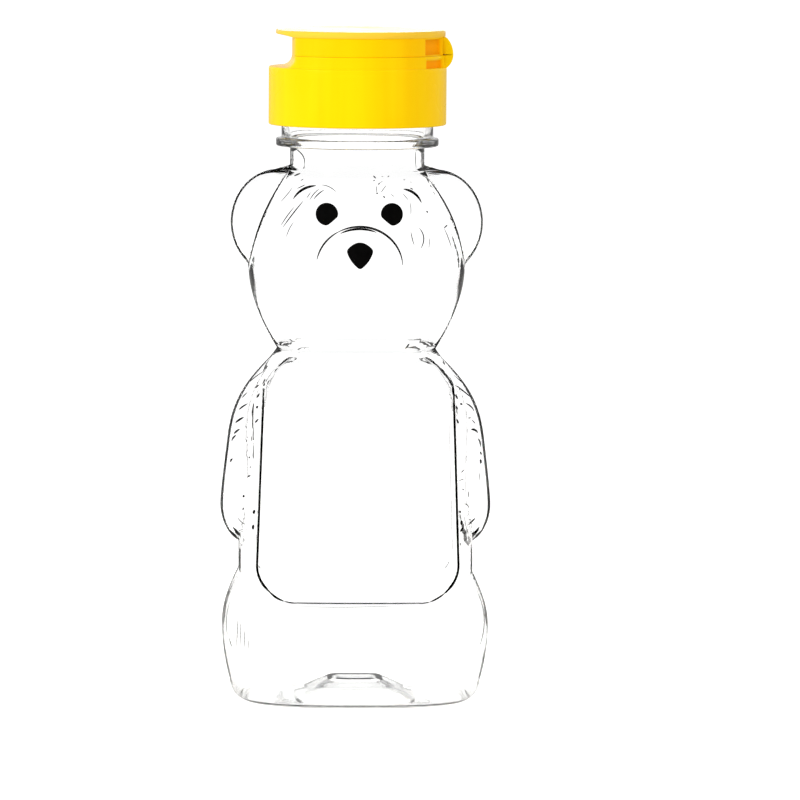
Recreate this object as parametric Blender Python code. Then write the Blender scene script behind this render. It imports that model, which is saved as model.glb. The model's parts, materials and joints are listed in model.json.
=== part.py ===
"""Bear-shaped squeeze bottle with a screw-on flip-top cap. Metres, +Z up.

The origin is the middle of the standing face. The bear faces -Y, the cap's living
hinge is at +X and its thumb lip at -X. The bottle is one blown shell: its outside and
its inside are the same rings of points, once at full size and once a wall's thickness
smaller. The cap pieces are rings too, with a flat side where the thumb goes.
"""
import math

import bmesh
import bpy
import numpy as np

# Gap between two pieces that rest on each other
SEAT_GAP = 0.0003

# Bottle walls
BODY_WALL = 0.0008
FLOOR_THICKNESS = 0.0012

# Seat and legs: the widest part of the base, its squareness and its rounded foot
BASE_HALF_WIDTH = 0.0308
BASE_HALF_DEPTH = 0.0255
BASE_SQUARENESS = 2.8
BASE_HEIGHT = 0.0175
FOOT_TUCK = 0.0033
FOOT_CORNER_REACH = 0.0043
FOOT_CORNER_RISE = 0.0045

# Push-up in the middle of the base, a blunt square pyramid with a break in its slope
PUSHUP_FOOT_HALF_WIDTH = 0.0139
PUSHUP_BREAK_HALF_WIDTH = 0.0089
PUSHUP_TOP_HALF_WIDTH = 0.0057
PUSHUP_BREAK_RISE = 0.0031
PUSHUP_TOP_RISE = 0.0019
PUSHUP_SQUARENESS = 5.0

# Torso: straight waist, chest, shoulders and the crease under the chin
WAIST_HALF_WIDTH = 0.0270
WAIST_HALF_DEPTH = 0.0216
WAIST_SQUARENESS = 3.7
HIP_RISE = 0.0123
WAIST_RISE = 0.0069
CHEST_HALF_WIDTH = 0.0260
CHEST_HALF_DEPTH = 0.0214
CHEST_SQUARENESS = 3.7
CHEST_RISE = 0.0233
CREASE_HALF_WIDTH = 0.0183
CREASE_HALF_DEPTH = 0.0176
CREASE_SQUARENESS = 2.4
SHOULDER_RISE = 0.0214

# Head: cheeks and neck root
CHEEK_HALF_WIDTH = 0.0249
CHEEK_HALF_DEPTH = 0.0219
CHEEK_SQUARENESS = 2.1
CHIN_RISE = 0.0176
NECK_RADIUS = 0.0155
FOREHEAD_RISE = 0.0239

# Arms: pads on the torso's sides, thickest at the paws
ARM_THICKNESS = 0.0046
ARM_HALF_DEPTH = 0.0140
PAW_RISE = 0.0093
ARM_RISE = 0.0330
ARM_EDGE_ROUNDING = 0.6

# Ears: flat discs on the sides of the head
EAR_MIDDLE_OUT = 0.0180
EAR_MIDDLE_RISE = 0.0115
EAR_HALF_WIDTH = 0.0111
EAR_HALF_DEPTH = 0.0054
EAR_HALF_HEIGHT = 0.0122

# Snout: a round bulge on the front of the head
SNOUT_FORWARD = 0.0140
SNOUT_RISE = 0.0020
SNOUT_HALF_WIDTH = 0.0120
SNOUT_HALF_DEPTH = 0.0114
SNOUT_HALF_HEIGHT = 0.0115
BLEND_WIDTH = 0.0008

# Flat label panels on the front and the back
PANEL_PROUD = 0.0006
PANEL_CROWN = 0.0016
PANEL_LOW_HALF_WIDTH = 0.0232
PANEL_TOP_HALF_WIDTH = 0.0213
PANEL_DROP = 0.0052
PANEL_HEIGHT = 0.0574
PANEL_CORNER_RADIUS = 0.0080
PANEL_RAMP = 0.0014

# Neck finish: bead, threaded wall and bore
NECK_RISE = 0.0052
NECK_WALL = 0.0009
BEAD_RADIUS = 0.01875
BEAD_HEIGHT = 0.0019
BEAD_ROUNDING = 0.0003
FINISH_RADIUS = 0.0175
FINISH_WALL = 0.0018
FINISH_RISE = 0.0115
RIM_CHAMFER = 0.0004
BORE_STEP_HEIGHT = 0.0020

# Thread, on the bottle and inside the cap
THREAD_PITCH = 0.004233
THREAD_TURNS = 1.1
THREAD_HEIGHT = 0.0012
THREAD_ROOT_WIDTH = 0.0020
THREAD_CREST_WIDTH = 0.0009
THREAD_BELOW_RIM = 0.00125
THREAD_EMBED = 0.0003
CAP_THREAD_ROOT_WIDTH = 0.0016
CAP_THREAD_CREST_WIDTH = 0.0007
CREST_GAP = 0.0004
FLANK_GAP = 0.0003

# Printed eyes and nose
INK_THICKNESS = 0.0004
EYE_RADIUS = 0.0025
EYE_MIDDLE_OUT = 0.0074
EYE_RISE = 0.0142
NOSE_HALF_WIDTH = 0.0031
NOSE_HEIGHT = 0.0061
NOSE_TOP_ARCH = 0.0018
NOSE_FLANK_ARCH = 0.0003
NOSE_RISE = 0.0033

# Foam liner between the rim and the cap
LINER_THICKNESS = 0.0008
LINER_INNER_MARGIN = 0.0005
LINER_OUTER_MARGIN = 0.0002

# Cap base: skirt, deck, sealing flange, upper ring and nozzle
SKIRT_WALL = 0.0014
SKIRT_ABOVE_BEAD = 0.0030
SKIRT_EDGE_ROUNDING = 0.0005
FLANGE_HEIGHT = 0.0022
FLANGE_WALL = 0.0018
DECK_THICKNESS = 0.0013
RING_STEP = 0.0003
RING_WALL = 0.0016
RING_HEIGHT = 0.00275
NOZZLE_RADIUS = 0.0046
ORIFICE_RADIUS = 0.003175
NOZZLE_HEIGHT = 0.0051
THUMB_WALL_OUT = 0.0150
THUMB_FILLET = 0.0024

# Shallow pockets on both sides of the hinge, as angles from the hinge side
POCKET_DEPTH = 0.0009
POCKET_FROM_ANGLE = math.radians(14.0)
POCKET_TO_ANGLE = math.radians(41.0)
POCKET_RAMP_ANGLE = math.radians(1.5)
PLAIN_STEP = math.radians(8.0)
SMALLEST_CORNER_ANGLE = math.radians(20.0)

# Lid: plate with a thumb lip, wall and a plug for the nozzle
PARTING_GAP = 0.0003
NOZZLE_HEADROOM = 0.0017
LID_STEP = 0.0006
LID_WALL = 0.0012
PLATE_OVERHANG = 0.0003
PLATE_THICKNESS = 0.0017
PLATE_EDGE_ROUNDING = 0.0004
LIP_OUT = 0.0190
LIP_THICKNESS = 0.0010
PLUG_GAP = 0.0003
PLUG_DEPTH = 0.0016

# Living hinge: a strap that bows out from the cap and is thinnest on its fold
STRAP_HALF_LENGTH = 0.0046
STRAP_HALF_HEIGHT = 0.0035
STRAP_BOW = 0.0009
STRAP_FOOT_THICKNESS = 0.00015
STRAP_THICKNESS = 0.0007
STRAP_FOLD_THICKNESS = 0.00035
STRAP_THINNING = 0.0015

# Heights, each from the one below it
Z_BASE = BASE_HEIGHT
Z_WAIST_LOW = Z_BASE + HIP_RISE
Z_WAIST_HIGH = Z_WAIST_LOW + WAIST_RISE
Z_CHEST = Z_WAIST_HIGH + CHEST_RISE
Z_CREASE = Z_CHEST + SHOULDER_RISE
Z_CHEEK = Z_CREASE + CHIN_RISE
Z_NECK = Z_CHEEK + FOREHEAD_RISE
Z_BEAD_LOW = Z_NECK + NECK_RISE
Z_BEAD_TOP = Z_BEAD_LOW + BEAD_HEIGHT
Z_RIM = Z_BEAD_TOP + FINISH_RISE
Z_PAW = Z_WAIST_HIGH + PAW_RISE
Z_ARM_TOP = Z_PAW + ARM_RISE
Z_EAR = Z_CHEEK + EAR_MIDDLE_RISE
Z_SNOUT = Z_CHEEK + SNOUT_RISE
Z_PANEL_LOW = Z_WAIST_LOW - PANEL_DROP
Z_PANEL_TOP = Z_PANEL_LOW + PANEL_HEIGHT
Z_THREAD_TOP = Z_RIM - THREAD_BELOW_RIM
Z_LINER_LOW = Z_RIM + SEAT_GAP
Z_LINER_TOP = Z_LINER_LOW + LINER_THICKNESS
Z_FLANGE_LOW = Z_LINER_TOP + SEAT_GAP
Z_DECK_LOW = Z_FLANGE_LOW + FLANGE_HEIGHT
Z_DECK_TOP = Z_DECK_LOW + DECK_THICKNESS
Z_RING_TOP = Z_DECK_TOP + RING_HEIGHT
Z_NOZZLE_TOP = Z_DECK_TOP + NOZZLE_HEIGHT
Z_LID_LOW = Z_RING_TOP + PARTING_GAP
Z_PLATE_LOW = Z_NOZZLE_TOP + NOZZLE_HEADROOM
Z_PLATE_TOP = Z_PLATE_LOW + PLATE_THICKNESS
Z_SKIRT_LOW = Z_BEAD_TOP + SKIRT_ABOVE_BEAD
Z_FOLD = Z_RING_TOP + PARTING_GAP / 2

# Radii that fit round the finish
BORE_RADIUS = FINISH_RADIUS - FINISH_WALL
SKIRT_INNER_RADIUS = FINISH_RADIUS + THREAD_HEIGHT + CREST_GAP
SKIRT_RADIUS = SKIRT_INNER_RADIUS + SKIRT_WALL
RING_RADIUS = SKIRT_RADIUS - RING_STEP
LID_RADIUS = SKIRT_RADIUS - LID_STEP
PLATE_RADIUS = LID_RADIUS + PLATE_OVERHANG
STRAP_FOOT_OUT = SKIRT_RADIUS + SEAT_GAP
FOLD_OUT = STRAP_FOOT_OUT + STRAP_FOOT_THICKNESS + STRAP_BOW

# Angles of a quarter of the bottle's columns, closest at the ears and the panel's edge
QUARTER_ANGLES = [math.radians(a) for a in
                  (0, 4, 8, 12, 16, 22, 29, 34.5, 37.3, 39, 40.7, 46, 56, 72, 90)]
EDGE_COLUMN = 9
EDGE_ANGLE = QUARTER_ANGLES[EDGE_COLUMN]
EDGE_RELAX = 0.0080
PANEL_REACH = 0.88
ROW_SPACING = 0.0036
INNER_ROW_SPACING = 0.0064
SMALLEST_ROW_GAP = 0.0003
RING_COLUMNS = 48
THREAD_STEPS_PER_TURN = 30


def clear_scene():
    """Remove what the scene already holds."""
    for old in list(bpy.data.objects):
        bpy.data.objects.remove(old, do_unlink=True)


def material(name, color, roughness, transmission=0.0, alpha=1.0):
    """A Principled material for one piece."""
    mat = bpy.data.materials.new(name)
    mat.use_nodes = True
    shader = mat.node_tree.nodes["Principled BSDF"]
    shader.inputs["Base Color"].default_value = (*color, 1.0)
    shader.inputs["Roughness"].default_value = roughness
    shader.inputs["Metallic"].default_value = 0.0
    shader.inputs["Transmission Weight"].default_value = transmission
    shader.inputs["Alpha"].default_value = alpha
    mat.diffuse_color = (*color, alpha)
    return mat


def add_object(name, bm, mat, pivot=None, smooth_below=35.0):
    """Turn a bmesh in world coordinates into a named object, on its joint's axis."""
    bmesh.ops.recalc_face_normals(bm, faces=bm.faces)
    if pivot:
        bmesh.ops.translate(bm, verts=bm.verts, vec=[-p for p in pivot])
    mesh = bpy.data.meshes.new(name)
    bm.to_mesh(mesh)
    bm.free()
    mesh.materials.append(mat)
    mesh.shade_smooth()
    mesh.set_sharp_from_angle(angle=math.radians(smooth_below))
    obj = bpy.data.objects.new(name, mesh)
    if pivot:
        obj.location = pivot
    bpy.context.scene.collection.objects.link(obj)
    return obj


def loft(rings, cyclic=False):
    """Skin a run of rings with quads. A ring of one point is a pole that closes the end."""
    bm = bmesh.new()
    rows = [[bm.verts.new(point) for point in ring] for ring in rings]
    pairs = list(zip(rows, rows[1:]))
    if cyclic:
        pairs.append((rows[-1], rows[0]))
    for low, high in pairs:
        count = max(len(low), len(high))
        for i in range(count):
            j = (i + 1) % count
            if len(low) == 1:
                bm.faces.new((low[0], high[j], high[i]))
            elif len(high) == 1:
                bm.faces.new((low[i], low[j], high[0]))
            else:
                bm.faces.new((low[i], low[j], high[j], high[i]))
    return bm


def between(first, second, share):
    """Mix two outlines by a share, 0 for the first and 1 for the second."""
    return tuple(a + (b - a) * share for a, b in zip(first, second))


def smooth_step(share):
    share = np.clip(share, 0.0, 1.0)
    return share * share * (3.0 - 2.0 * share)


def smooth_max(a, b):
    """The larger of two distances, with a small fillet where they cross."""
    return 0.5 * (a + b + np.sqrt((a - b) ** 2 + BLEND_WIDTH ** 2))


# Outlines of the bottle: half-width, half-depth and squareness
BASE_OUTLINE = (BASE_HALF_WIDTH, BASE_HALF_DEPTH, BASE_SQUARENESS)
WAIST_OUTLINE = (WAIST_HALF_WIDTH, WAIST_HALF_DEPTH, WAIST_SQUARENESS)
CHEST_OUTLINE = (CHEST_HALF_WIDTH, CHEST_HALF_DEPTH, CHEST_SQUARENESS)
CREASE_OUTLINE = (CREASE_HALF_WIDTH, CREASE_HALF_DEPTH, CREASE_SQUARENESS)
CHEEK_OUTLINE = (CHEEK_HALF_WIDTH, CHEEK_HALF_DEPTH, CHEEK_SQUARENESS)
NECK_OUTLINE = (NECK_RADIUS, NECK_RADIUS, 2.0)


def section(z):
    """The bottle's outline at height z, without ears, snout, arms and panels."""
    if z < Z_BASE:
        side = max(z, FOOT_CORNER_RISE)
        inset = FOOT_TUCK * ((Z_BASE - side) / Z_BASE) ** 2
        if z < FOOT_CORNER_RISE:
            fall = 1.0 - z / FOOT_CORNER_RISE
            inset += FOOT_CORNER_REACH * (1.0 - math.sqrt(1.0 - fall * fall))
        return BASE_HALF_WIDTH - inset, BASE_HALF_DEPTH - inset, BASE_SQUARENESS
    if z < Z_WAIST_LOW:
        share = math.cos(0.5 * math.pi * (z - Z_BASE) / HIP_RISE)
        return between(WAIST_OUTLINE, BASE_OUTLINE, share)
    if z < Z_WAIST_HIGH:
        return WAIST_OUTLINE
    if z < Z_CHEST:
        share = 0.5 - 0.5 * math.cos(math.pi * (z - Z_WAIST_HIGH) / CHEST_RISE)
        return between(WAIST_OUTLINE, CHEST_OUTLINE, share)
    if z < Z_CREASE:
        share = (1.0 - ((z - Z_CHEST) / SHOULDER_RISE) ** 2.8) ** 1.25
        return between(CREASE_OUTLINE, CHEST_OUTLINE, share)
    if z < Z_CHEEK:
        share = ((Z_CHEEK - z) / CHIN_RISE) ** 1.65
        return between(CHEEK_OUTLINE, CREASE_OUTLINE, share)
    if z < Z_NECK:
        share = ((z - Z_CHEEK) / FOREHEAD_RISE) ** 1.65
        return between(CHEEK_OUTLINE, NECK_OUTLINE, share)
    return NECK_OUTLINE


def superellipse(angles, outline):
    """Distance from the axis to an outline, along each angle."""
    half_width, half_depth, power = outline
    side = np.abs(np.cos(angles)) / half_width
    front = np.abs(np.sin(angles)) / half_depth
    return (side ** power + front ** power) ** (-1.0 / power)


def far_root(a, b, c):
    """The larger root of a r^2 + b r + c, or 0 where there is none."""
    inside = b * b - 4.0 * a * c
    return np.where(inside > 0.0, (-b + np.sqrt(np.maximum(inside, 0.0))) / (2.0 * a), 0.0)


def ear_reach(z, angles, inset):
    """Distance from the axis to the ears, 0 where a ray misses them."""
    lift = (z - Z_EAR) / (EAR_HALF_HEIGHT - inset)
    if abs(lift) >= 1.0:
        return np.zeros_like(angles)
    shrink = math.sqrt(1.0 - lift * lift)
    wide = (EAR_HALF_WIDTH - inset) * shrink
    deep = (EAR_HALF_DEPTH - inset) * shrink
    side = np.abs(np.cos(angles))
    front = np.maximum(np.abs(np.sin(angles)), 1e-6)
    root = deep / front
    tip = far_root((side / wide) ** 2 + (front / deep) ** 2,
                   -2.0 * side * EAR_MIDDLE_OUT / wide ** 2,
                   (EAR_MIDDLE_OUT / wide) ** 2 - 1.0)
    return np.where(root * side < EAR_MIDDLE_OUT, root, tip)


def snout_reach(z, angles, inset):
    """Distance from the axis to the snout, 0 where a ray misses it."""
    lift = (z - Z_SNOUT) / (SNOUT_HALF_HEIGHT - inset)
    if abs(lift) >= 1.0:
        return np.zeros_like(angles)
    shrink = math.sqrt(1.0 - lift * lift)
    wide = (SNOUT_HALF_WIDTH - inset) * shrink
    deep = (SNOUT_HALF_DEPTH - inset) * shrink
    side = np.cos(angles)
    front = np.sin(angles)
    reach = far_root((side / wide) ** 2 + (front / deep) ** 2,
                     2.0 * front * SNOUT_FORWARD / deep ** 2,
                     (SNOUT_FORWARD / deep) ** 2 - 1.0)
    return np.maximum(reach, 0.0)


def arm_swell(y, z):
    """How far the arms stand out from the torso's sides."""
    if not Z_WAIST_HIGH < z < Z_ARM_TOP:
        return np.zeros_like(y)
    if z < Z_PAW:
        open_share = 1.0 - ((Z_PAW - z) / PAW_RISE) ** 2
        thickness = ARM_THICKNESS * open_share ** 0.7
        half_depth = ARM_HALF_DEPTH * math.sqrt(open_share)
    else:
        climb = (z - Z_PAW) / ARM_RISE
        thickness = ARM_THICKNESS * (1.0 - climb ** 2)
        half_depth = ARM_HALF_DEPTH * (1.0 - 0.5 * climb ** 2)
    across = np.clip(1.0 - (y / half_depth) ** 2, 0.0, 1.0)
    return thickness * across ** ARM_EDGE_ROUNDING


def panel_half_width(z):
    share = min(max((z - Z_PANEL_LOW) / PANEL_HEIGHT, 0.0), 1.0)
    wanted = PANEL_LOW_HALF_WIDTH + (PANEL_TOP_HALF_WIDTH - PANEL_LOW_HALF_WIDTH) * share
    return min(wanted, PANEL_REACH * section(z)[0])


def panel_share(x, z):
    """1 on a label panel and 0 off it, with a short ramp along its rounded outline."""
    across = np.abs(x) - (panel_half_width(z) - PANEL_CORNER_RADIUS)
    along = abs(z - Z_PANEL_LOW - PANEL_HEIGHT / 2) - (PANEL_HEIGHT / 2 - PANEL_CORNER_RADIUS)
    corner = np.hypot(np.maximum(across, 0.0), max(along, 0.0))
    outside = corner + np.minimum(np.maximum(across, along), 0.0) - PANEL_CORNER_RADIUS
    return smooth_step(0.5 - outside / PANEL_RAMP)


def panel_depth(x, z):
    """How far forward a label panel lies: flat down to the seat, slightly crowned."""
    middle = section(max(z, Z_WAIST_LOW))[1] + PANEL_PROUD
    return middle - PANEL_CROWN * (x / panel_half_width(z)) ** 2


def bottle_ring(z, angles, inset=0.0):
    """Points of the bottle's surface at height z. Inset is the depth below the outside."""
    half_width, half_depth, power = section(z)
    reach = superellipse(angles, (half_width - inset, half_depth - inset, power))
    if Z_CREASE < z < Z_NECK:
        reach = smooth_max(reach, ear_reach(z, angles, inset))
        reach = smooth_max(reach, snout_reach(z, angles, inset))
    x = reach * np.cos(angles)
    y = reach * np.sin(angles)
    x = x + np.sign(np.round(x, 9)) * arm_swell(y, z)
    share = panel_share(x, z)
    panel_y = np.sign(np.round(y, 9)) * (panel_depth(x, z) - inset)
    y = y + (panel_y - y) * share
    return np.column_stack((x, y, np.full_like(x, z)))


def panel_edge_angle(z):
    """Angle from the side at which the label panel's outline crosses height z."""
    inside = min(max(z, Z_PANEL_LOW), Z_PANEL_TOP)
    along = abs(inside - Z_PANEL_LOW - PANEL_HEIGHT / 2) - (PANEL_HEIGHT / 2 - PANEL_CORNER_RADIUS)
    drop = min(max(along, 0.0), PANEL_CORNER_RADIUS)
    edge = panel_half_width(inside) - PANEL_CORNER_RADIUS
    edge += math.sqrt(PANEL_CORNER_RADIUS ** 2 - drop ** 2)
    half_width, half_depth, power = section(inside)
    depth = half_depth * (1.0 - (edge / half_width) ** power) ** (1.0 / power)
    angle = math.atan2(depth, edge)
    away = min(abs(z - inside) / EDGE_RELAX, 1.0)
    return angle + (EDGE_ANGLE - angle) * away


def column_angles(z):
    """Angles of the bottle's columns at height z, even round the neck."""
    edge = panel_edge_angle(z)
    quarter = []
    for i, angle in enumerate(QUARTER_ANGLES):
        if angle <= EDGE_ANGLE:
            bent = angle * edge / EDGE_ANGLE
        else:
            past = (angle - EDGE_ANGLE) / (0.5 * math.pi - EDGE_ANGLE)
            bent = edge + (0.5 * math.pi - edge) * past
        even = 0.5 * math.pi * i / (len(QUARTER_ANGLES) - 1)
        share = float(smooth_step((z - Z_EAR) / (Z_NECK - Z_EAR)))
        quarter.append(bent + (even - bent) * share)
    first = quarter[:-1]
    second = [math.pi - a for a in reversed(quarter[1:])]
    half = first + second
    return np.array(half + [a + math.pi for a in half])


def fill_levels(keys, spacing):
    """Heights from the lowest key to the highest, with every key among them."""
    keys = sorted(keys)
    levels = [keys[0]]
    for key in keys[1:]:
        start = levels[-1]
        gap = key - start
        steps = max(1, round(gap / spacing))
        if gap > SMALLEST_ROW_GAP:
            levels += [start + gap * (i + 1) / steps for i in range(steps)]
    return levels


def round_ring(radius, z, angles):
    return np.column_stack((radius * np.cos(angles), radius * np.sin(angles),
                            np.full_like(angles, z)))


def square_ring(half_width, z, angles):
    """A ring of the push-up, a square with rounded corners."""
    reach = superellipse(angles, (half_width, half_width, PUSHUP_SQUARENESS))
    return np.column_stack((reach * np.cos(angles), reach * np.sin(angles),
                            np.full_like(angles, z)))


def outside_levels():
    """Heights of the bottle's outer rings, from the foot's corner to the neck root."""
    half_ramp = PANEL_RAMP / 2
    corner = [FOOT_CORNER_RISE * (1.0 - math.cos(math.radians(a))) for a in (35, 62)]
    ear = [Z_EAR + EAR_HALF_HEIGHT * math.sin(math.radians(a)) for a in (62, 76)]
    panel = [Z_PANEL_LOW - half_ramp, Z_PANEL_LOW, Z_PANEL_LOW + half_ramp, Z_PANEL_TOP]
    panel += [Z_PANEL_LOW + PANEL_CORNER_RADIUS * (1.0 - math.cos(math.radians(a)))
              for a in (38, 56, 74)]
    arm = [Z_WAIST_HIGH + PAW_RISE * share for share in (0.0, 0.06, 0.2)]
    tops = [FOOT_CORNER_RISE, Z_BASE, Z_PAW, Z_CHEST, Z_CREASE, Z_CHEEK, Z_NECK]
    return corner + fill_levels(panel + arm + ear + tops, ROW_SPACING)


def inside_levels():
    """Heights of the bottle's inner rings, from the neck root to the floor."""
    keys = [Z_NECK, Z_CHEEK, Z_CREASE, Z_PANEL_LOW, Z_PAW, Z_WAIST_HIGH, Z_WAIST_LOW,
            Z_BASE, FOOT_CORNER_RISE, FLOOR_THICKNESS]
    return list(reversed(fill_levels(keys, INNER_ROW_SPACING)))


def bottle_rings():
    """Every ring of the bottle: under the base, up outside, over the rim, down inside."""
    base_angles = column_angles(0.0)
    z_top = PUSHUP_BREAK_RISE + PUSHUP_TOP_RISE
    rings = [[(0.0, 0.0, z_top)]]
    rings.append(square_ring(PUSHUP_TOP_HALF_WIDTH, z_top, base_angles))
    rings.append(square_ring(PUSHUP_BREAK_HALF_WIDTH, PUSHUP_BREAK_RISE, base_angles))
    rings.append(square_ring(PUSHUP_FOOT_HALF_WIDTH, 0.0, base_angles))
    rings.append(bottle_ring(0.0, base_angles))
    rings += [bottle_ring(z, column_angles(z)) for z in outside_levels()]
    even = column_angles(Z_NECK)
    rings.append(round_ring(NECK_RADIUS, Z_BEAD_LOW, even))
    rings.append(round_ring(BEAD_RADIUS - BEAD_ROUNDING, Z_BEAD_LOW, even))
    rings.append(round_ring(BEAD_RADIUS, Z_BEAD_LOW + BEAD_ROUNDING, even))
    rings.append(round_ring(BEAD_RADIUS, Z_BEAD_TOP - BEAD_ROUNDING, even))
    rings.append(round_ring(BEAD_RADIUS - BEAD_ROUNDING, Z_BEAD_TOP, even))
    rings.append(round_ring(FINISH_RADIUS, Z_BEAD_TOP, even))
    rings.append(round_ring(FINISH_RADIUS, Z_RIM - RIM_CHAMFER, even))
    rings.append(round_ring(FINISH_RADIUS - RIM_CHAMFER, Z_RIM, even))
    rings.append(round_ring(BORE_RADIUS, Z_RIM, even))
    rings.append(round_ring(BORE_RADIUS, Z_BEAD_TOP, even))
    rings.append(round_ring(NECK_RADIUS - NECK_WALL, Z_BEAD_TOP - BORE_STEP_HEIGHT, even))
    for z in inside_levels():
        inset = NECK_WALL if z == Z_NECK else BODY_WALL
        rings.append(bottle_ring(z, column_angles(z), inset))
    rise = FLOOR_THICKNESS
    rings.append(square_ring(PUSHUP_FOOT_HALF_WIDTH + BODY_WALL, rise, base_angles))
    rings.append(square_ring(PUSHUP_BREAK_HALF_WIDTH + BODY_WALL / 2,
                             PUSHUP_BREAK_RISE + rise, base_angles))
    rings.append(square_ring(PUSHUP_TOP_HALF_WIDTH + BODY_WALL / 2, z_top + rise, base_angles))
    rings.append([(0.0, 0.0, z_top + rise)])
    return rings


def helix_ridge(radius, height, root_width, crest_width, z_start, turns, phase):
    """A thread ridge from radius out (height above 0) or in (below 0), faded at its ends."""
    steps = round(THREAD_STEPS_PER_TURN * turns)
    embed = -math.copysign(THREAD_EMBED, height)
    rings = []
    for i in range(steps + 1):
        turn = turns * i / steps
        angle = phase + 2.0 * math.pi * turn
        fade = min(1.0, (0.15 + 0.85 * min(i, steps - i) / 4.0))
        z = z_start + THREAD_PITCH * turn
        slope = (root_width - crest_width) / 2 * abs(embed / height)
        foot = (root_width / 2 + slope) * (0.5 + 0.5 * fade)
        crest = crest_width / 2 * (0.5 + 0.5 * fade)
        root_r = radius + embed
        crest_r = radius + height * fade
        corners = ((root_r, -foot), (crest_r, -crest), (crest_r, crest), (root_r, foot))
        rings.append([(r * math.cos(angle), r * math.sin(angle), z + dz) for r, dz in corners])
    bm = loft(rings)
    bm.verts.ensure_lookup_table()
    bm.faces.new([bm.verts[k] for k in range(4)])
    bm.faces.new([bm.verts[len(bm.verts) - 1 - k] for k in range(4)])
    return bm


def join_solids(target, tool):
    """Unite a guide solid with an object, so both are one closed body."""
    tool.hide_render = True
    tool.display_type = "WIRE"
    union = target.modifiers.new("thread", "BOOLEAN")
    union.operation = "UNION"
    union.solver = "EXACT"
    union.object = tool


def build_bottle(clear):
    bottle = add_object("bottle", loft(bottle_rings()), clear)
    z_start = Z_THREAD_TOP - THREAD_PITCH * THREAD_TURNS
    ridge = helix_ridge(FINISH_RADIUS, THREAD_HEIGHT, THREAD_ROOT_WIDTH, THREAD_CREST_WIDTH,
                        z_start, THREAD_TURNS, 0.0)
    join_solids(bottle, add_object("bottle_thread_guide", ridge, clear))
    return bottle


def face_depth(x, z):
    """Where the front of the head lies at side x and height z, found by halving."""
    low = -0.5 * math.pi
    high = math.radians(-20.0) if x >= 0.0 else math.radians(-160.0)
    for _ in range(40):
        middle = (low + high) / 2
        point = bottle_ring(z, np.array([middle]))[0]
        if abs(point[0]) < abs(x):
            low = middle
        else:
            high = middle
    return bottle_ring(z, np.array([low]))[0][1]


def face_point(x, z, lift):
    """A point a given distance off the face, square to its surface."""
    step = 0.0002
    y = face_depth(x, z)
    slope_x = (face_depth(x + step, z) - face_depth(x - step, z)) / (2 * step)
    slope_z = (face_depth(x, z + step) - face_depth(x, z - step)) / (2 * step)
    length = math.sqrt(1.0 + slope_x ** 2 + slope_z ** 2)
    return (x + slope_x / length * lift, y - lift / length, z + slope_z / length * lift)


def build_patch(name, ink, x_middle, z_middle, outline):
    """A thin printed patch on the face. The outline is offsets from its middle."""
    shares = (0.55, 1.0)

    def layer(share, lift):
        return [face_point(x_middle + share * x, z_middle + share * z, lift) for x, z in outline]

    top = SEAT_GAP + INK_THICKNESS
    rings = [[face_point(x_middle, z_middle, top)]]
    rings += [layer(share, top) for share in shares]
    rings += [layer(share, SEAT_GAP) for share in reversed(shares)]
    rings.append([face_point(x_middle, z_middle, SEAT_GAP)])
    return add_object(name, loft(rings), ink)


def arch(start, end, height, steps):
    """Points of a shallow arch from start to end, bowed to the left of that way."""
    across = (end[0] - start[0], end[1] - start[1])
    length = math.hypot(*across)
    left = (-across[1] / length, across[0] / length)
    points = []
    for i in range(steps):
        share = i / steps
        bow = height * 4.0 * share * (1.0 - share)
        points.append((start[0] + across[0] * share + left[0] * bow,
                       start[1] + across[1] * share + left[1] * bow))
    return points


def nose_outline():
    """A shield with an arched top and its point down."""
    z_side = NOSE_HEIGHT / 2 - NOSE_TOP_ARCH
    right = (NOSE_HALF_WIDTH, z_side)
    left = (-NOSE_HALF_WIDTH, z_side)
    tip = (0.0, -NOSE_HEIGHT / 2)
    points = arch(left, right, NOSE_TOP_ARCH, 10)
    points += arch(right, tip, NOSE_FLANK_ARCH, 6)
    return points + arch(tip, left, NOSE_FLANK_ARCH, 6)


def build_face(ink):
    turns = [2.0 * math.pi * i / 20 for i in range(20)]
    eye = [(EYE_RADIUS * math.cos(a), EYE_RADIUS * math.sin(a)) for a in turns]
    z_eye = Z_CHEEK + EYE_RISE
    build_patch("left_eye", ink, EYE_MIDDLE_OUT, z_eye, eye)
    build_patch("right_eye", ink, -EYE_MIDDLE_OUT, z_eye, eye)
    build_patch("nose", ink, 0.0, Z_SNOUT + NOSE_RISE, nose_outline())


def build_liner(foam):
    angles = np.linspace(0.0, 2.0 * math.pi, RING_COLUMNS, endpoint=False)
    inner = BORE_RADIUS - LINER_INNER_MARGIN
    outer = FINISH_RADIUS - LINER_OUTER_MARGIN
    corners = ((inner, Z_LINER_LOW), (outer, Z_LINER_LOW), (outer, Z_LINER_TOP),
               (inner, Z_LINER_TOP))
    rings = [round_ring(radius, z, angles) for radius, z in corners]
    return add_object("seal_liner", loft(rings, cyclic=True), foam, (0.0, 0.0, Z_LINER_LOW))


def cap_angles(corner):
    """Angles of a cap ring, with a column on each corner of its flat side at -X."""
    pocket = [0.0, POCKET_FROM_ANGLE / 2, POCKET_FROM_ANGLE,
              POCKET_FROM_ANGLE + POCKET_RAMP_ANGLE]
    middle = (POCKET_FROM_ANGLE + POCKET_TO_ANGLE) / 2
    pocket += [middle - PLAIN_STEP / 2, middle + PLAIN_STEP / 2,
               POCKET_TO_ANGLE - POCKET_RAMP_ANGLE, POCKET_TO_ANGLE]
    flank = np.linspace(POCKET_TO_ANGLE, math.pi - corner, 12)[1:]
    flat = np.linspace(math.pi - corner, math.pi, 6)[1:]
    half = np.concatenate((pocket, flank, flat))
    return np.concatenate((half, 2.0 * math.pi - half[-2:0:-1]))


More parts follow.
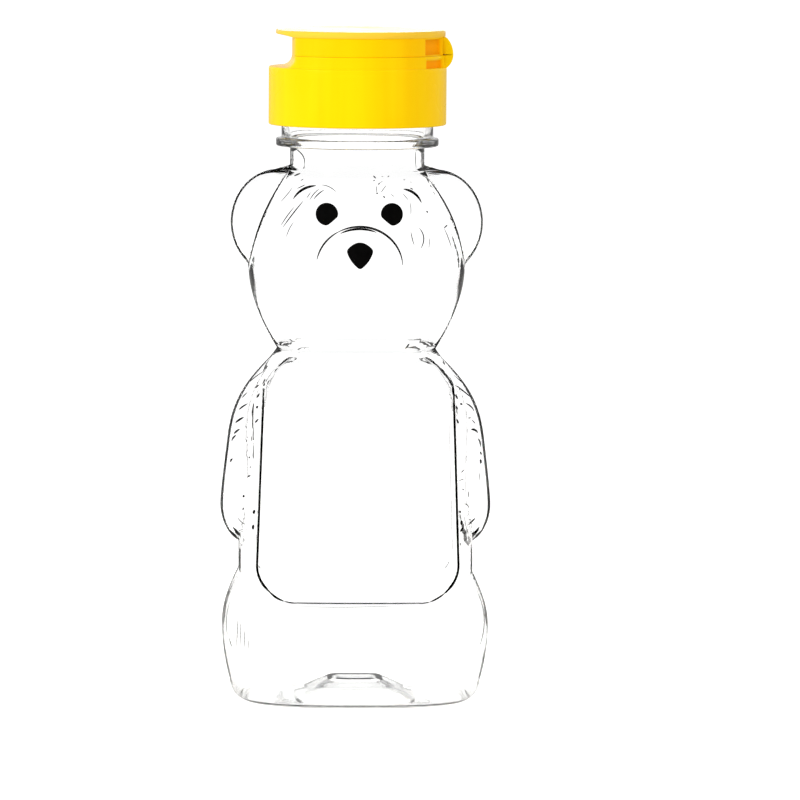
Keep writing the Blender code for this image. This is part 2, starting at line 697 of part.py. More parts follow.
def flat_ring(radius, z, flat_out=None, pocket=0.0):
    """A cap ring: a circle, cut flat at x = -flat_out, with pockets beside the hinge."""
    flat_out = flat_out or radius
    corner = math.acos(min(flat_out / radius, math.cos(SMALLEST_CORNER_ANGLE)))
    angles = cap_angles(corner)
    side = np.maximum(-np.cos(angles), 1e-6)
    reach = np.minimum(radius, flat_out / side)
    if pocket > 0.0:
        off = np.abs((angles + math.pi) % (2.0 * math.pi) - math.pi)
        rise = np.clip((off - POCKET_FROM_ANGLE) / POCKET_RAMP_ANGLE, 0.0, 1.0)
        fall = np.clip((POCKET_TO_ANGLE - off) / POCKET_RAMP_ANGLE, 0.0, 1.0)
        reach = reach - pocket * np.minimum(rise, fall)
    return np.column_stack((reach * np.cos(angles), reach * np.sin(angles),
                            np.full_like(angles, z)))


def build_cap_base(plastic, pivot):
    soft = SKIRT_EDGE_ROUNDING
    flat = THUMB_WALL_OUT
    fillet = [(flat + THUMB_FILLET * (1.0 - math.sin(a)), THUMB_FILLET * (1.0 - math.cos(a)))
              for a in (math.radians(d) for d in (0.0, 30.0, 60.0))]
    well = RING_RADIUS - RING_WALL
    well_flat = flat - RING_WALL
    rings = [flat_ring(SKIRT_RADIUS - 0.3 * soft, Z_SKIRT_LOW),
             flat_ring(SKIRT_RADIUS, Z_SKIRT_LOW + soft),
             flat_ring(SKIRT_RADIUS, Z_DECK_TOP - soft),
             flat_ring(SKIRT_RADIUS - 0.3 * soft, Z_DECK_TOP - 0.3 * soft),
             flat_ring(SKIRT_RADIUS - soft, Z_DECK_TOP)]
    rings += [flat_ring(RING_RADIUS - soft / 2, Z_DECK_TOP + rise + 1e-5, out, POCKET_DEPTH)
              for out, rise in fillet[:1]]
    rings += [flat_ring(RING_RADIUS, Z_DECK_TOP + rise, out, POCKET_DEPTH)
              for out, rise in fillet[1:]]
    rings += [flat_ring(RING_RADIUS, Z_RING_TOP, flat, POCKET_DEPTH),
              flat_ring(well, Z_RING_TOP, well_flat),
              flat_ring(well, Z_DECK_TOP, well_flat),
              flat_ring(NOZZLE_RADIUS, Z_DECK_TOP),
              flat_ring(NOZZLE_RADIUS, Z_NOZZLE_TOP - soft),
              flat_ring(NOZZLE_RADIUS - soft, Z_NOZZLE_TOP),
              flat_ring(ORIFICE_RADIUS, Z_NOZZLE_TOP),
              flat_ring(ORIFICE_RADIUS, Z_DECK_LOW),
              flat_ring(FINISH_RADIUS - FLANGE_WALL, Z_DECK_LOW),
              flat_ring(FINISH_RADIUS - FLANGE_WALL, Z_FLANGE_LOW),
              flat_ring(FINISH_RADIUS, Z_FLANGE_LOW),
              flat_ring(FINISH_RADIUS, Z_DECK_LOW),
              flat_ring(SKIRT_INNER_RADIUS, Z_DECK_LOW),
              flat_ring(SKIRT_INNER_RADIUS, Z_SKIRT_LOW)]
    cap = add_object("cap_base", loft(rings, cyclic=True), plastic, pivot)
    offset = 0.5 * (THREAD_ROOT_WIDTH + CAP_THREAD_CREST_WIDTH) + FLANK_GAP
    z_start = Z_SKIRT_LOW + CAP_THREAD_ROOT_WIDTH
    bottle_start = Z_THREAD_TOP - THREAD_PITCH * THREAD_TURNS
    phase = 2.0 * math.pi * (z_start + offset - bottle_start) / THREAD_PITCH
    ridge = helix_ridge(SKIRT_INNER_RADIUS, -THREAD_HEIGHT, CAP_THREAD_ROOT_WIDTH,
                        CAP_THREAD_CREST_WIDTH, z_start, THREAD_TURNS, phase)
    join_solids(cap, add_object("cap_thread_guide", ridge, plastic))
    return cap


def build_lid(plastic, pivot):
    soft = PLATE_EDGE_ROUNDING
    flat = THUMB_WALL_OUT
    inner = LID_RADIUS - LID_WALL
    inner_flat = flat - LID_WALL
    plug = ORIFICE_RADIUS - PLUG_GAP
    z_lip = Z_PLATE_TOP - LIP_THICKNESS
    rings = [[(0.0, 0.0, Z_PLATE_TOP)],
             flat_ring(PLATE_RADIUS * 0.6, Z_PLATE_TOP),
             flat_ring(PLATE_RADIUS - soft, Z_PLATE_TOP, LIP_OUT - soft),
             flat_ring(PLATE_RADIUS, Z_PLATE_TOP - soft, LIP_OUT),
             flat_ring(PLATE_RADIUS, z_lip + 0.0001, LIP_OUT),
             flat_ring(LID_RADIUS, Z_PLATE_LOW, flat, POCKET_DEPTH),
             flat_ring(LID_RADIUS, Z_LID_LOW, flat, POCKET_DEPTH),
             flat_ring(inner, Z_LID_LOW, inner_flat),
             flat_ring(inner, Z_PLATE_LOW, inner_flat),
             flat_ring(plug, Z_PLATE_LOW),
             flat_ring(plug, Z_NOZZLE_TOP - PLUG_DEPTH + soft),
             flat_ring(plug - soft, Z_NOZZLE_TOP - PLUG_DEPTH),
             [(0.0, 0.0, Z_NOZZLE_TOP - PLUG_DEPTH)]]
    return add_object("lid", loft(rings), plastic, pivot)


def strap_faces(z):
    """Inner and outer side of the hinge strap at height z."""
    off = abs(z - Z_FOLD)
    outer = FOLD_OUT - STRAP_BOW * (off / STRAP_HALF_HEIGHT) ** 2
    growth = min(1.0, off / STRAP_THINNING)
    thickness = STRAP_FOLD_THICKNESS + (STRAP_THICKNESS - STRAP_FOLD_THICKNESS) * growth
    return max(STRAP_FOOT_OUT, outer - thickness), outer


def build_leaf(name, plastic, pivot, z_low, z_high):
    """One half of the living hinge, from its foot to the fold."""
    steps = 8
    rings = []
    for i in range(steps + 1):
        z = z_low + (z_high - z_low) * i / steps
        inner, outer = strap_faces(z)
        rings.append([(inner, -STRAP_HALF_LENGTH, z), (outer, -STRAP_HALF_LENGTH, z),
                      (outer, STRAP_HALF_LENGTH, z), (inner, STRAP_HALF_LENGTH, z)])
    bm = loft(rings)
    bm.verts.ensure_lookup_table()
    bm.faces.new([bm.verts[k] for k in range(4)])
    bm.faces.new([bm.verts[len(bm.verts) - 1 - k] for k in range(4)])
    return add_object(name, bm, plastic, pivot)


def main():
    clear_scene()
    clear = material("clear_pet", (0.95, 0.96, 0.97), 0.03, transmission=1.0, alpha=0.35)
    ink = material("black_ink", (0.012, 0.012, 0.012), 0.35)
    foam = material("liner_foam", (0.93, 0.93, 0.90), 0.7)
    yellow = material("yellow_polypropylene", (1.0, 0.80, 0.02), 0.28)
    fold = (FOLD_OUT, 0.0, Z_FOLD)
    build_bottle(clear)
    build_face(ink)
    build_liner(foam)
    build_cap_base(yellow, (0.0, 0.0, Z_SKIRT_LOW))
    build_leaf("hinge_leaf_lower", yellow, fold, Z_FOLD - STRAP_HALF_HEIGHT,
               Z_FOLD - PARTING_GAP / 2)
    build_lid(yellow, fold)
    build_leaf("hinge_leaf_upper", yellow, fold, Z_FOLD + PARTING_GAP / 2,
               Z_FOLD + STRAP_HALF_HEIGHT)


main()
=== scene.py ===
import json
import math

import bmesh
import bpy
import numpy as np
from mathutils import Matrix, Vector


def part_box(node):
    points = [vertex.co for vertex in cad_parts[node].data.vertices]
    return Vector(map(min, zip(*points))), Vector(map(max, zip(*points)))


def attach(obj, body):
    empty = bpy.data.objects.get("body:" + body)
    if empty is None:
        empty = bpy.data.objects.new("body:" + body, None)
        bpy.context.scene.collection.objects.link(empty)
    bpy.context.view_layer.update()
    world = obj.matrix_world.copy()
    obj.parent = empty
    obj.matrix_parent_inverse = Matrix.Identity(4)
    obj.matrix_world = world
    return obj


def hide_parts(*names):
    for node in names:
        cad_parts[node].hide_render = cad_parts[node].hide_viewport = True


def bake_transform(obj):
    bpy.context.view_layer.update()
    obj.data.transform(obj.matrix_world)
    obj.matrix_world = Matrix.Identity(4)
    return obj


# Looks of the bear-shaped squeeze bottle: a clear blown shell with moulded fur, printed
# eyes and nose, and a yellow flip-top cap. Metres, +Z up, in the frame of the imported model.

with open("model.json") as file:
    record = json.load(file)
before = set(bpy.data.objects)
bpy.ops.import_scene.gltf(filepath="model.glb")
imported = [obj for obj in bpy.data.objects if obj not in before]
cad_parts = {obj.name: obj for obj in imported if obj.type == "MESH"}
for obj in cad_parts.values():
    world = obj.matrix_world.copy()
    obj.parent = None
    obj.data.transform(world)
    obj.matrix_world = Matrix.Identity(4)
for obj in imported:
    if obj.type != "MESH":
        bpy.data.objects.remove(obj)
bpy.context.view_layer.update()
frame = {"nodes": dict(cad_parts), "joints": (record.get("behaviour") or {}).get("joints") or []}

bottle_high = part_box("bottle")[1]
cap_low, cap_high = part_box("cap_base")
lid_low, lid_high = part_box("lid")
lid_hinge = next(joint for joint in frame["joints"] if joint["name"] == "lid_hinge")

# Heights of the bottle's forms above the floor
Z_BASE = 0.0175
Z_WAIST_LOW = 0.0298
Z_WAIST_HIGH = 0.0367
Z_CHEST = 0.0600
Z_CREASE = 0.0814
Z_CHEEK = 0.0990
Z_NECK = 0.1229
Z_RIM = bottle_high.z
Z_BEAD_TOP = Z_RIM - 0.0115
Z_BEAD_LOW = Z_BEAD_TOP - 0.0019

# Outlines of the bottle: half-width, half-depth and squareness
BASE_OUTLINE = (0.0308, 0.0255, 2.8)
WAIST_OUTLINE = (0.0270, 0.0216, 3.7)
CHEST_OUTLINE = (0.0260, 0.0214, 3.7)
CREASE_OUTLINE = (0.0183, 0.0176, 2.4)
CHEEK_OUTLINE = (0.0249, 0.0219, 2.1)
NECK_OUTLINE = (0.0155, 0.0155, 2.0)
SHOULDER_BULGE = 2.8
SHOULDER_FALL = 1.25
HEAD_BULGE = 1.65

# Foot and push-up. The push-up is a hollow in the base with a break in its slope. Its wall
# is measured sideways, and the floor dips a little beside the bottle's wall.
FOOT_TUCK = 0.0033
FOOT_CORNER_REACH = 0.0043
FOOT_CORNER_RISE = 0.0045
PUSHUP_FOOT = 0.0139
PUSHUP_BREAK = 0.0089
PUSHUP_TOP = 0.0057
Z_PUSHUP_BREAK = 0.0028
Z_PUSHUP_TOP = 0.0043
PUSHUP_SQUARENESS = 5.0
PUSHUP_WALL = 0.0004
PUSHUP_CROWN_DROP = 0.0002
FLOOR_DIP = 0.0003

# Arms
ARM_THICKNESS = 0.0046
ARM_HALF_DEPTH = 0.0140
Z_PAW = 0.0460
Z_ARM_TOP = 0.0790
ARM_TOP_NARROWING = 0.5
ARM_EDGE_ROUNDING = 0.75
PAW_ROUNDING = 0.7

# Ears and snout
EAR_OUT = 0.0180
Z_EAR = 0.1105
EAR_HALF = (0.0111, 0.0054, 0.0122)
SNOUT_FORWARD = 0.0140
Z_SNOUT = 0.1010
SNOUT_HALF = (0.0120, 0.0114, 0.0115)
FORM_FILLET = 0.0008

# Label panels. A ramp is how wide the step round a panel is. The side's ramp reaches round
# the corners by the upright gain. Inside the wall the outline moves in by the wall's
# thickness where the step is full.
PANEL_PROUD = 0.0006
PANEL_CROWN = 0.0016
PANEL_LOW_HALF_WIDTH = 0.0237
PANEL_TOP_HALF_WIDTH = 0.0218
Z_PANEL_LOW = 0.0253
PANEL_HEIGHT = 0.0567
PANEL_CORNER_RADIUS = 0.0080
PANEL_TOP_RADIUS = 0.0050
PANEL_SIDE_RAMP = 0.00045
REAR_PANEL_SIDE_RAMP = 0.0014
PANEL_TOP_RAMP = 0.0060
PANEL_FOOT_RAMP = 0.00108
REAR_PANEL_FOOT_RAMP = 0.0042
PANEL_REACH = 0.95
PANEL_UPRIGHT_GAIN = 1.6
PANEL_FULL_STEP = 0.0015

# Walls and neck finish. The wall swells in a patch a little below the widest part of
# either cheek.
BODY_WALL = 0.00045
NECK_WALL = 0.0008
NECK_WALL_RUN = 0.0020
CHEEK_SWELL = 0.0003
CHEEK_SWELL_DROP = 0.0020
CHEEK_SWELL_HALF_HEIGHT = 0.0035
CHEEK_SWELL_POWER = 12
FLOOR_THICKNESS = 0.0004
BEAD_RADIUS = 0.01875
BEAD_ROUNDING = 0.0004
FINISH_RADIUS = 0.0175
BORE_RADIUS = 0.0157
RIM_CHAMFER = 0.0004
BORE_STEP_HEIGHT = 0.0032

# Cap base: skirt, deck, upper ring, nozzle and sealing flange. A sharp corner is two rings
# a crease to either side of it.
SKIRT_RADIUS = cap_high.x
Z_SKIRT_LOW = cap_low.z
Z_NOZZLE_TOP = cap_high.z
Z_DECK_TOP = Z_NOZZLE_TOP - 0.0051
Z_DECK_LOW = Z_DECK_TOP - 0.0013
Z_FLANGE_LOW = Z_DECK_LOW - 0.0022
Z_RING_TOP = Z_DECK_TOP + 0.00275
SKIRT_WALL = 0.0014
SKIRT_ROUNDING = 0.0004
RING_RADIUS = SKIRT_RADIUS - 0.0003
RING_WALL = 0.0016
RING_ROUNDING = 0.00005
THUMB_WALL_OUT = 0.0150
THUMB_FILLET = 0.0024
THUMB_CORNER = 0.0009
NOZZLE_RADIUS = 0.0046
NOZZLE_TAPER = 0.0003
ORIFICE_RADIUS = 0.003175
FLANGE_WALL = 0.0018
CAP_CREASE = 0.00002

# Lid: plate with a thumb lip, wall and plug. The plate thins to the lip where it starts to
# stand out over the wall. The wall begins a seam below the plate's underside.
Z_PLATE_TOP = lid_high.z
PLATE_RADIUS = lid_high.x
LIP_OUT = -lid_low.x
LID_RADIUS = PLATE_RADIUS - 0.0003
LID_WALL = 0.0012
Z_LID_LOW = Z_RING_TOP + 0.00003
Z_PLATE_LOW = Z_PLATE_TOP - 0.0017
PLATE_ROUNDING = 0.0005
RIM_HEIGHT = 0.00140
LIP_THICKNESS = 0.00085
LIP_START = 0.0004
LIP_FADE = 0.0030
LID_SEAM = 0.0001
LID_UNDERCUT = 0.00006
PLUG_RADIUS = ORIFICE_RADIUS - 0.0003
Z_PLUG_LOW = Z_NOZZLE_TOP - 0.0016

# Pockets beside the hinge, as angles from the hinge side. The brims are the wall's whole
# edges that are left on the lid and on the ring.
POCKET_DEPTH = 0.0010
POCKET_ANGLES = (math.radians(14.0), math.radians(41.0))
POCKET_RAMP = math.radians(1.2)
POCKET_BRIM = (0.0002, 0.0007)
POCKET_EDGE = 0.0002

# Living hinge: a solid bulge with a notch behind its thin fold. The notch closes between
# two distances from the fold.
FOLD_OUT = lid_hinge["pos_m"][0]
Z_FOLD = lid_hinge["pos_m"][2]
STRAP_HALF_LENGTH = 0.0046
STRAP_UPPER_HEIGHT = 0.0040
STRAP_LOWER_HEIGHT = 0.0031
STRAP_ROOT_OUT = RING_RADIUS - 0.0009
STRAP_FOLD_THICKNESS = 0.00035
STRAP_NOTCH = (0.00004, 0.00016)
STRAP_CORNER = 0.0005
STRAP_ROUNDNESS = 0.8

# Threads, a ridge of round section on the finish and one inside the skirt, each faded over
# a share of its length to a share of its size
THREAD_PITCH = 0.004233
THREAD_TURNS = 1.1
THREAD_RIDGE = 0.0010
THREAD_CREST = 0.0012
Z_THREAD_LOW = Z_RIM - 0.00125 - THREAD_PITCH * THREAD_TURNS
CAP_THREAD_RIDGE = 0.0008
Z_CAP_THREAD_LOW = Z_SKIRT_LOW + 0.0016
THREAD_STEPS_PER_TURN = 64
THREAD_SIDES = 14
THREAD_FADE_SHARE = 0.08
THREAD_END_SHARE = 0.2

# Columns of the cap and of a quarter of the bottle. The bottle's lie in three runs, of
# which the middle one follows the panel's edge, moves to the head's own angles past the
# panel and gives way to even columns above the ears.
CAP_COLUMNS = 288
CAP_COLUMN_GAP = math.radians(0.12)
SIDE_COLUMNS = 26
EDGE_COLUMNS = 14
FRONT_COLUMNS = 20
EDGE_RUN_HALF_WIDTH = 0.0008
EDGE_RUN_MOST_SPREAD = 4.0
HEAD_RUN_ENDS = (math.radians(20.0), math.radians(42.0))
HEAD_RUN_DROP = 0.0040
HEAD_RUN_FADE = 0.0080
Z_EVEN_RUN = (Z_EAR + EAR_HALF[2] - 0.001, Z_EAR + EAR_HALF[2] + 0.002)

# Rows of the bottle, closer together where the form is tightly curved or steps. A row that
# lies nearer to the last one than the gap is left out. A seam is how far short of the neck
# or the floor the rows stop. Rows round an arc are given as its first and last angle in
# degrees and their number.
OUTER_ROW_SPACING = 0.0009
OUTER_ROW_GAP = 0.00009
OUTER_NECK_SEAM = 0.0002
OUTER_EAR_ROWS = (30.0, 88.5, 22)
OUTER_PANEL_ROWS = (65.0, 0.0, 22)
OUTER_FOOT_ROWS = (9.0, 90.0, 10)
OUTER_LEDGE_SPACING = 0.00011
INNER_ROW_SPACING = 0.0015
INNER_ROW_GAP = 0.00016
INNER_NECK_SEAM = 0.0008
INNER_FLOOR_SEAM = 0.0004
INNER_EAR_ROWS = (35.0, 88.0, 12)
INNER_PANEL_ROWS = (65.0, 0.0, 12)
INNER_FOOT_ROWS = (36.0, 81.0, 6)
INNER_LEDGE_SPACING = 0.0002
LEDGE_REACH = 0.0009
CREASE_ROWS = (-0.0016, 0.0017, 0.0002)
PAW_ROWS = (0.01, 0.04, 0.09, 0.16, 0.25)

# Search for the point of the bottle that is seen at a place from the front
SURFACE_HALVINGS = 26
SLOPE_STEP = 0.0002

# Guards against a division by zero, for a length or ratio and for a square
NEARLY_ZERO = 1e-6
NEARLY_ZERO_SQUARE = 1e-9

# Printed eyes and nose
INK_LIFT = 0.00009
INK_SINK = 0.00008
EYE_RADIUS = 0.00255
EYE_FLAT = 0.00205
EYE_FLAT_TURN = math.radians(-50.0)
EYE_ROUNDING = 0.0003
EYE_OUT = 0.0074
Z_EYE = 0.1134
NOSE_HALF_WIDTH = 0.0031
NOSE_HEIGHT = 0.0061
NOSE_TOP_ARCH = 0.0018
NOSE_FLANK_ARCH = 0.0005
Z_NOSE = 0.1043

# Moulded fur: thin ridges half sunk in the wall, tapered down to a share at their tips
RIDGE_RADIUS = 0.00016
ARM_RIDGE_RADIUS = 0.00020
RIDGE_SINK = 0.00004
RIDGE_SIDES = 8
RIDGE_TIP_SHARE = 0.25

# Line over the muzzle: for each arc its end angles, how far inside it lies, and its weight
MUZZLE_HALF_WIDTH = 0.0099
MUZZLE_HALF_HEIGHT = 0.00925
Z_MUZZLE = 0.1015
MUZZLE_ARCS = ((170.0, 118.0, 0.0, 1.6), (122.0, 3.0, 0.0, 2.0), (118.0, 66.0, 0.0005, 2.1))
MUZZLE_STEPS = 28

# Strokes in millimetres, seen from the front: x and z of both ends, bow, and weight
FACE_STROKES = (
    (-15.0, 116.5, -9.9, 119.7, 0.7, 2.3), (-14.1, 118.8, -12.2, 119.8, 0.0, 0.8),
    (-17.8, 115.6, -15.1, 119.0, -0.1, 0.7), (-12.0, 116.8, -11.0, 118.2, 0.0, 0.6),
    (-11.3, 116.4, -9.1, 119.0, 0.2, 0.7), (-10.4, 116.6, -8.0, 118.8, 0.2, 0.9),
    (-8.7, 119.9, -5.3, 118.4, 0.4, 0.6), (-17.8, 110.4, -14.8, 114.7, 0.1, 0.8),
    (-17.4, 110.0, -12.7, 116.2, 0.1, 1.0), (-16.6, 107.9, -14.9, 111.4, 0.2, 0.6),
    (-14.7, 121.5, -13.3, 122.2, 0.0, 1.3), (-13.3, 120.6, -12.6, 121.0, 0.0, 0.7),
    (10.2, 119.0, 14.4, 115.8, 0.7, 2.3), (11.7, 119.2, 12.5, 118.8, 0.0, 0.9),
    (10.0, 118.0, 11.3, 116.5, 0.0, 0.5), (11.7, 116.0, 11.8, 113.2, 0.1, 0.5),
    (13.7, 110.3, 14.1, 105.6, 0.9, 0.9), (11.8, 109.5, 12.6, 106.3, -0.1, 0.7),
    (16.2, 107.9, 16.0, 105.5, 0.0, 0.5), (19.7, 109.8, 21.5, 105.1, 0.1, 0.8),
    (20.6, 110.4, 19.7, 109.8, 0.0, 1.0), (3.2, 122.1, 3.8, 121.5, 0.0, 1.0),
    (3.2, 120.9, 3.5, 121.1, 0.0, 0.9), (4.3, 120.1, 4.7, 120.5, 0.0, 0.9),
    (4.7, 120.5, 5.4, 120.9, 0.0, 0.4), (6.5, 121.8, 6.9, 122.0, 0.0, 0.7),
    (5.1, 121.9, 5.5, 121.9, 0.0, 0.4), (3.9, 119.8, 4.0, 118.2, 0.0, 0.5),
    (4.0, 118.3, 4.1, 118.0, 0.0, 1.3), (4.9, 118.3, 6.2, 120.0, 0.0, 0.5),
    (5.5, 117.6, 5.8, 117.1, 0.0, 1.0), (7.2, 118.0, 8.0, 117.3, 0.0, 0.4),
    (10.1, 121.0, 10.7, 121.0, 0.0, 0.6), (11.7, 120.5, 12.2, 120.4, 0.0, 0.5),
    (15.5, 113.9, 15.9, 113.5, 0.0, 1.3), (-15.6, 122.6, -24.9, 99.8, -1.7, 1.3),
    (15.1, 122.1, 24.7, 100.1, 2.0, 1.3))
ARM_STROKES = (
    (-25.5, 72.6, -21.3, 76.6, 0.2, 0.9), (-26.5, 70.1, -25.2, 71.6, 0.0, 0.9),
    (-27.2, 67.5, -25.2, 69.2, 0.1, 1.2), (-28.0, 64.5, -26.1, 66.1, 0.1, 1.5),
    (-28.3, 62.0, -27.0, 63.3, 0.1, 1.4), (-28.8, 60.1, -27.8, 61.8, 0.2, 1.3),
    (-29.2, 55.5, -28.6, 56.4, 0.0, 1.4), (-23.4, 72.7, -22.6, 73.6, 0.0, 1.4),
    (-23.2, 70.8, -22.5, 71.9, 0.0, 1.5), (-23.3, 68.6, -22.9, 69.1, 0.0, 1.7),
    (-23.6, 65.3, -22.8, 66.3, 0.0, 1.2), (-25.3, 52.5, -24.5, 53.0, 0.1, 0.9),
    (-23.9, 44.4, -23.6, 45.4, 0.0, 1.9), (-24.0, 40.8, -23.9, 42.0, 0.0, 1.8),
    (-27.5, 43.2, -25.7, 41.6, -0.2, 0.6), (-26.2, 47.9, -26.0, 48.5, 0.0, 1.4),
    (-26.3, 44.9, -26.1, 45.6, 0.0, 0.9), (-24.9, 56.9, -24.7, 57.3, 0.0, 1.0),
    (-24.7, 54.8, -24.5, 55.1, 0.0, 0.9), (22.4, 75.6, 25.4, 72.7, 0.0, 0.9),
    (22.4, 73.7, 26.4, 70.3, 0.1, 1.1), (22.3, 71.8, 23.0, 70.7, 0.0, 1.6),
    (23.5, 69.6, 24.1, 69.4, 0.0, 1.3), (25.0, 69.4, 27.1, 67.2, 0.3, 1.1),
    (22.5, 69.3, 22.8, 68.4, 0.0, 1.6), (22.6, 66.4, 23.1, 65.3, 0.0, 1.3),
    (25.5, 66.1, 26.2, 66.1, 0.0, 0.7), (26.4, 65.6, 27.3, 64.6, 0.0, 0.7),
    (26.2, 63.5, 27.9, 62.4, 0.3, 1.5), (27.9, 61.2, 28.5, 59.1, 0.2, 1.4),
    (28.4, 58.1, 28.8, 57.3, 0.0, 1.4), (28.5, 56.4, 28.6, 55.3, 0.0, 1.9),
    (28.3, 53.5, 28.1, 51.3, 0.0, 0.5), (23.7, 53.9, 24.6, 54.6, 0.0, 0.6),
    (23.2, 52.2, 24.5, 52.4, 0.0, 0.5), (24.1, 50.2, 24.4, 49.9, 0.0, 0.9),
    (25.6, 49.5, 25.5, 47.9, 0.0, 0.6), (24.5, 46.7, 25.8, 45.4, 0.3, 0.6),
    (23.4, 44.8, 23.6, 45.3, 0.0, 1.7), (23.8, 42.0, 24.0, 43.0, 0.0, 1.9),
    (23.6, 40.5, 24.3, 41.2, 0.0, 1.6), (25.6, 41.6, 27.3, 43.1, 0.0, 1.2),
    (26.5, 39.2, 28.0, 40.5, -0.3, 1.2), (24.6, 39.8, 24.9, 40.2, 0.0, 1.1),
    (23.7, 37.9, 23.7, 37.2, 0.0, 0.7))
SEAT_STROKES = (
    (-28.9, 24.0, -29.6, 15.3, -0.6, 0.8), (-29.2, 15.3, -28.6, 13.3, -0.1, 0.9),
    (-27.4, 20.1, -27.6, 13.4, 0.0, 0.6), (-26.8, 20.0, -26.8, 13.5, 0.0, 0.5),
    (-25.9, 17.9, -25.9, 13.4, 0.0, 0.6), (-25.0, 16.1, -24.9, 13.3, 0.0, 0.4),
    (27.7, 26.2, 28.1, 13.0, 1.6, 1.0))
PANEL_STROKES = (
    (-20.4, 27.2, -16.9, 25.1, -0.3, 1.7), (-16.9, 25.1, -13.9, 24.7, -0.1, 1.0),
    (20.0, 26.8, 16.5, 25.0, 0.2, 1.5), (16.5, 25.0, 13.8, 24.7, 0.1, 0.9),
    (-13.9, 24.0, 8.4, 24.2, -0.2, 0.3))
NECK_STROKES = (
    (-14.4, 127.6, -12.4, 123.9, 0.8, 1.0), (-12.4, 123.9, -12.6, 123.2, 0.0, 0.8),
    (13.3, 127.8, 13.3, 123.4, -0.2, 0.7))

# Share of the studio's white that light keeps for each reflection on its way, share of it
# that lights the object, and the floor under it
TRAPPED_LIGHT = 0.93
STUDIO_LIGHT = 0.62
FLOOR_RADIUS = 12.0
FLOOR_PAINT = 0.85
FLOOR_GLOW = 0.6

# How dark the bottle's wall turns edge on, and its share of that past a height: the neck,
# the finish, the seat and the floor. Each row has the heights where the change starts and
# ends.
EDGE_DARKNESS = 0.85
EDGE_SHARES = ((Z_NECK - 0.0005, Z_NECK + 0.0005, 0.65),
               (Z_BEAD_LOW - 0.0008, Z_BEAD_LOW - 0.0002, 0.10),
               (Z_WAIST_LOW, Z_WAIST_LOW - 0.0040, 0.75),
               (0.0050, 0.0035, 0.22))

# Places where the edges are softer by a share: the crease, a patch on the cheeks, the paws
# and the panel's sides. Each is a height and a half-height, and fades over a range of
# distances from the middle.
FOLD_SOFTNESS = 0.9
FOLD_PLACE = (Z_CREASE, 0.0022)
FOLD_FADE = (0.0175, 0.0145)
CHEEK_SOFTNESS = 0.7
CHEEK_PLACE = (Z_CHEEK - 0.0020, 0.0040)
CHEEK_FADE = (0.0190, 0.0220)
PAW_SOFTNESS = 0.92
PAW_PLACE = (Z_WAIST_HIGH + 0.0030, 0.0032)
PAW_FADE_IN = (0.0225, 0.0235)
PAW_FADE_OUT = (0.0278, 0.0268)
PANEL_SOFTNESS = 0.35
PANEL_SOFT_HALF_WIDTH = 0.0010
PANEL_SOFT_LOW = (0.0370, 0.0410)
PANEL_SOFT_HIGH = (0.0740, 0.0700)

# Colouring of the cap: how far the bounds of a colour lie from the surfaces they tell
# apart, the share of painted shade that the walls beside the pockets take, and where the
# painted reflection, a paler colour on the rim, starts and is full, measured from the plate's
# outline
PAINT_GAP = 0.0001
Z_WALL_SHADE_TOP = Z_PLATE_TOP - 0.0008
RING_SHADE = 0.08
LID_SHADE = 0.2
RIM_REFLECTION_BAND = (-0.0011, -0.0006)

# Colours
WHITE = (1.0, 1.0, 1.0)
YELLOW = (1.0, 0.70, 0.002)
YELLOW_STREAK = (1.0, 0.63, 0.001)
YELLOW_CLOUD = (1.0, 0.73, 0.003)
YELLOW_GLEAM = (1.0, 0.75, 0.1)
# Painted shade: the pockets' orange stands in for the shade in these recesses, and the walls beside
# them take a share of it
POCKET_SHADE_ORANGE = (0.96, 0.39, 0.0)
# Painted reflection: the rim's paler yellow stands in for light mirrored by the rounded rim
RIM_REFLECTION_YELLOW = (0.94, 0.62, 0.05)
INK_BLACK = (0.0015, 0.0015, 0.0015)
INK_GREY = (0.004, 0.004, 0.004)
FOAM_CELL = (0.80, 0.80, 0.77)
FOAM_WHITE = (0.93, 0.93, 0.90)
PET_TINT = (0.975, 0.985, 0.98)
PET_GLEAM = (0.3, 0.3, 0.3)
PET_SHADOW = (0.93, 0.93, 0.93)
# Painted shade: the near black of the moulded lines stands in for the dark look of light bent by
# the clear ridges
RELIEF_SHADE_DARK = (0.004, 0.004, 0.004)
RELIEF_SHADE_GREY = (0.02, 0.02, 0.02)
LAMP_AMBER = (1.0, 0.74, 0.4)

PET_IOR = 1.5
NOISE_RANGE = (0.3, 0.7)

# Camera: far away with a long lens, a little to the left and above
CAMERA_DISTANCE = 1.5
CAMERA_AZIMUTH = math.radians(-1.8)
CAMERA_HEIGHT = 0.211
CAMERA_PITCH = math.radians(-5.399)
CAMERA_ROLL = math.radians(0.35)
CAMERA_AIM_RIGHT = 0.0102
LENS = 292.95
SENSOR = 36.0


def mix(first, second, share):
    """The value that lies a share of the way from the first to the second."""
    return first + (second - first) * share


def smooth_step(share):
    """A share from 0 to 1 with a soft start and a soft end."""
    share = np.clip(share, 0.0, 1.0)
    return share * share * (3.0 - 2.0 * share)


def ramp(value, start, end):
    """0 up to the start, rising smoothly to 1 at the end. The end may be the lower one."""
    return smooth_step((value - start) / (end - start))


def hump(value, middle, half_width):
    """1 at the middle, fading smoothly to 0 on both sides."""
    return np.exp(-((value - middle) / half_width) ** 2)


def smooth_max(a, b):
    """The larger of two distances, with a small fillet where they cross."""
    return 0.5 * (a + b + np.sqrt((a - b) ** 2 + FORM_FILLET ** 2))


def smooth_min(a, b, width):
    """The smaller of two distances, rounded over a width where they cross."""
    return 0.5 * (a + b - np.sqrt((a - b) ** 2 + width ** 2))


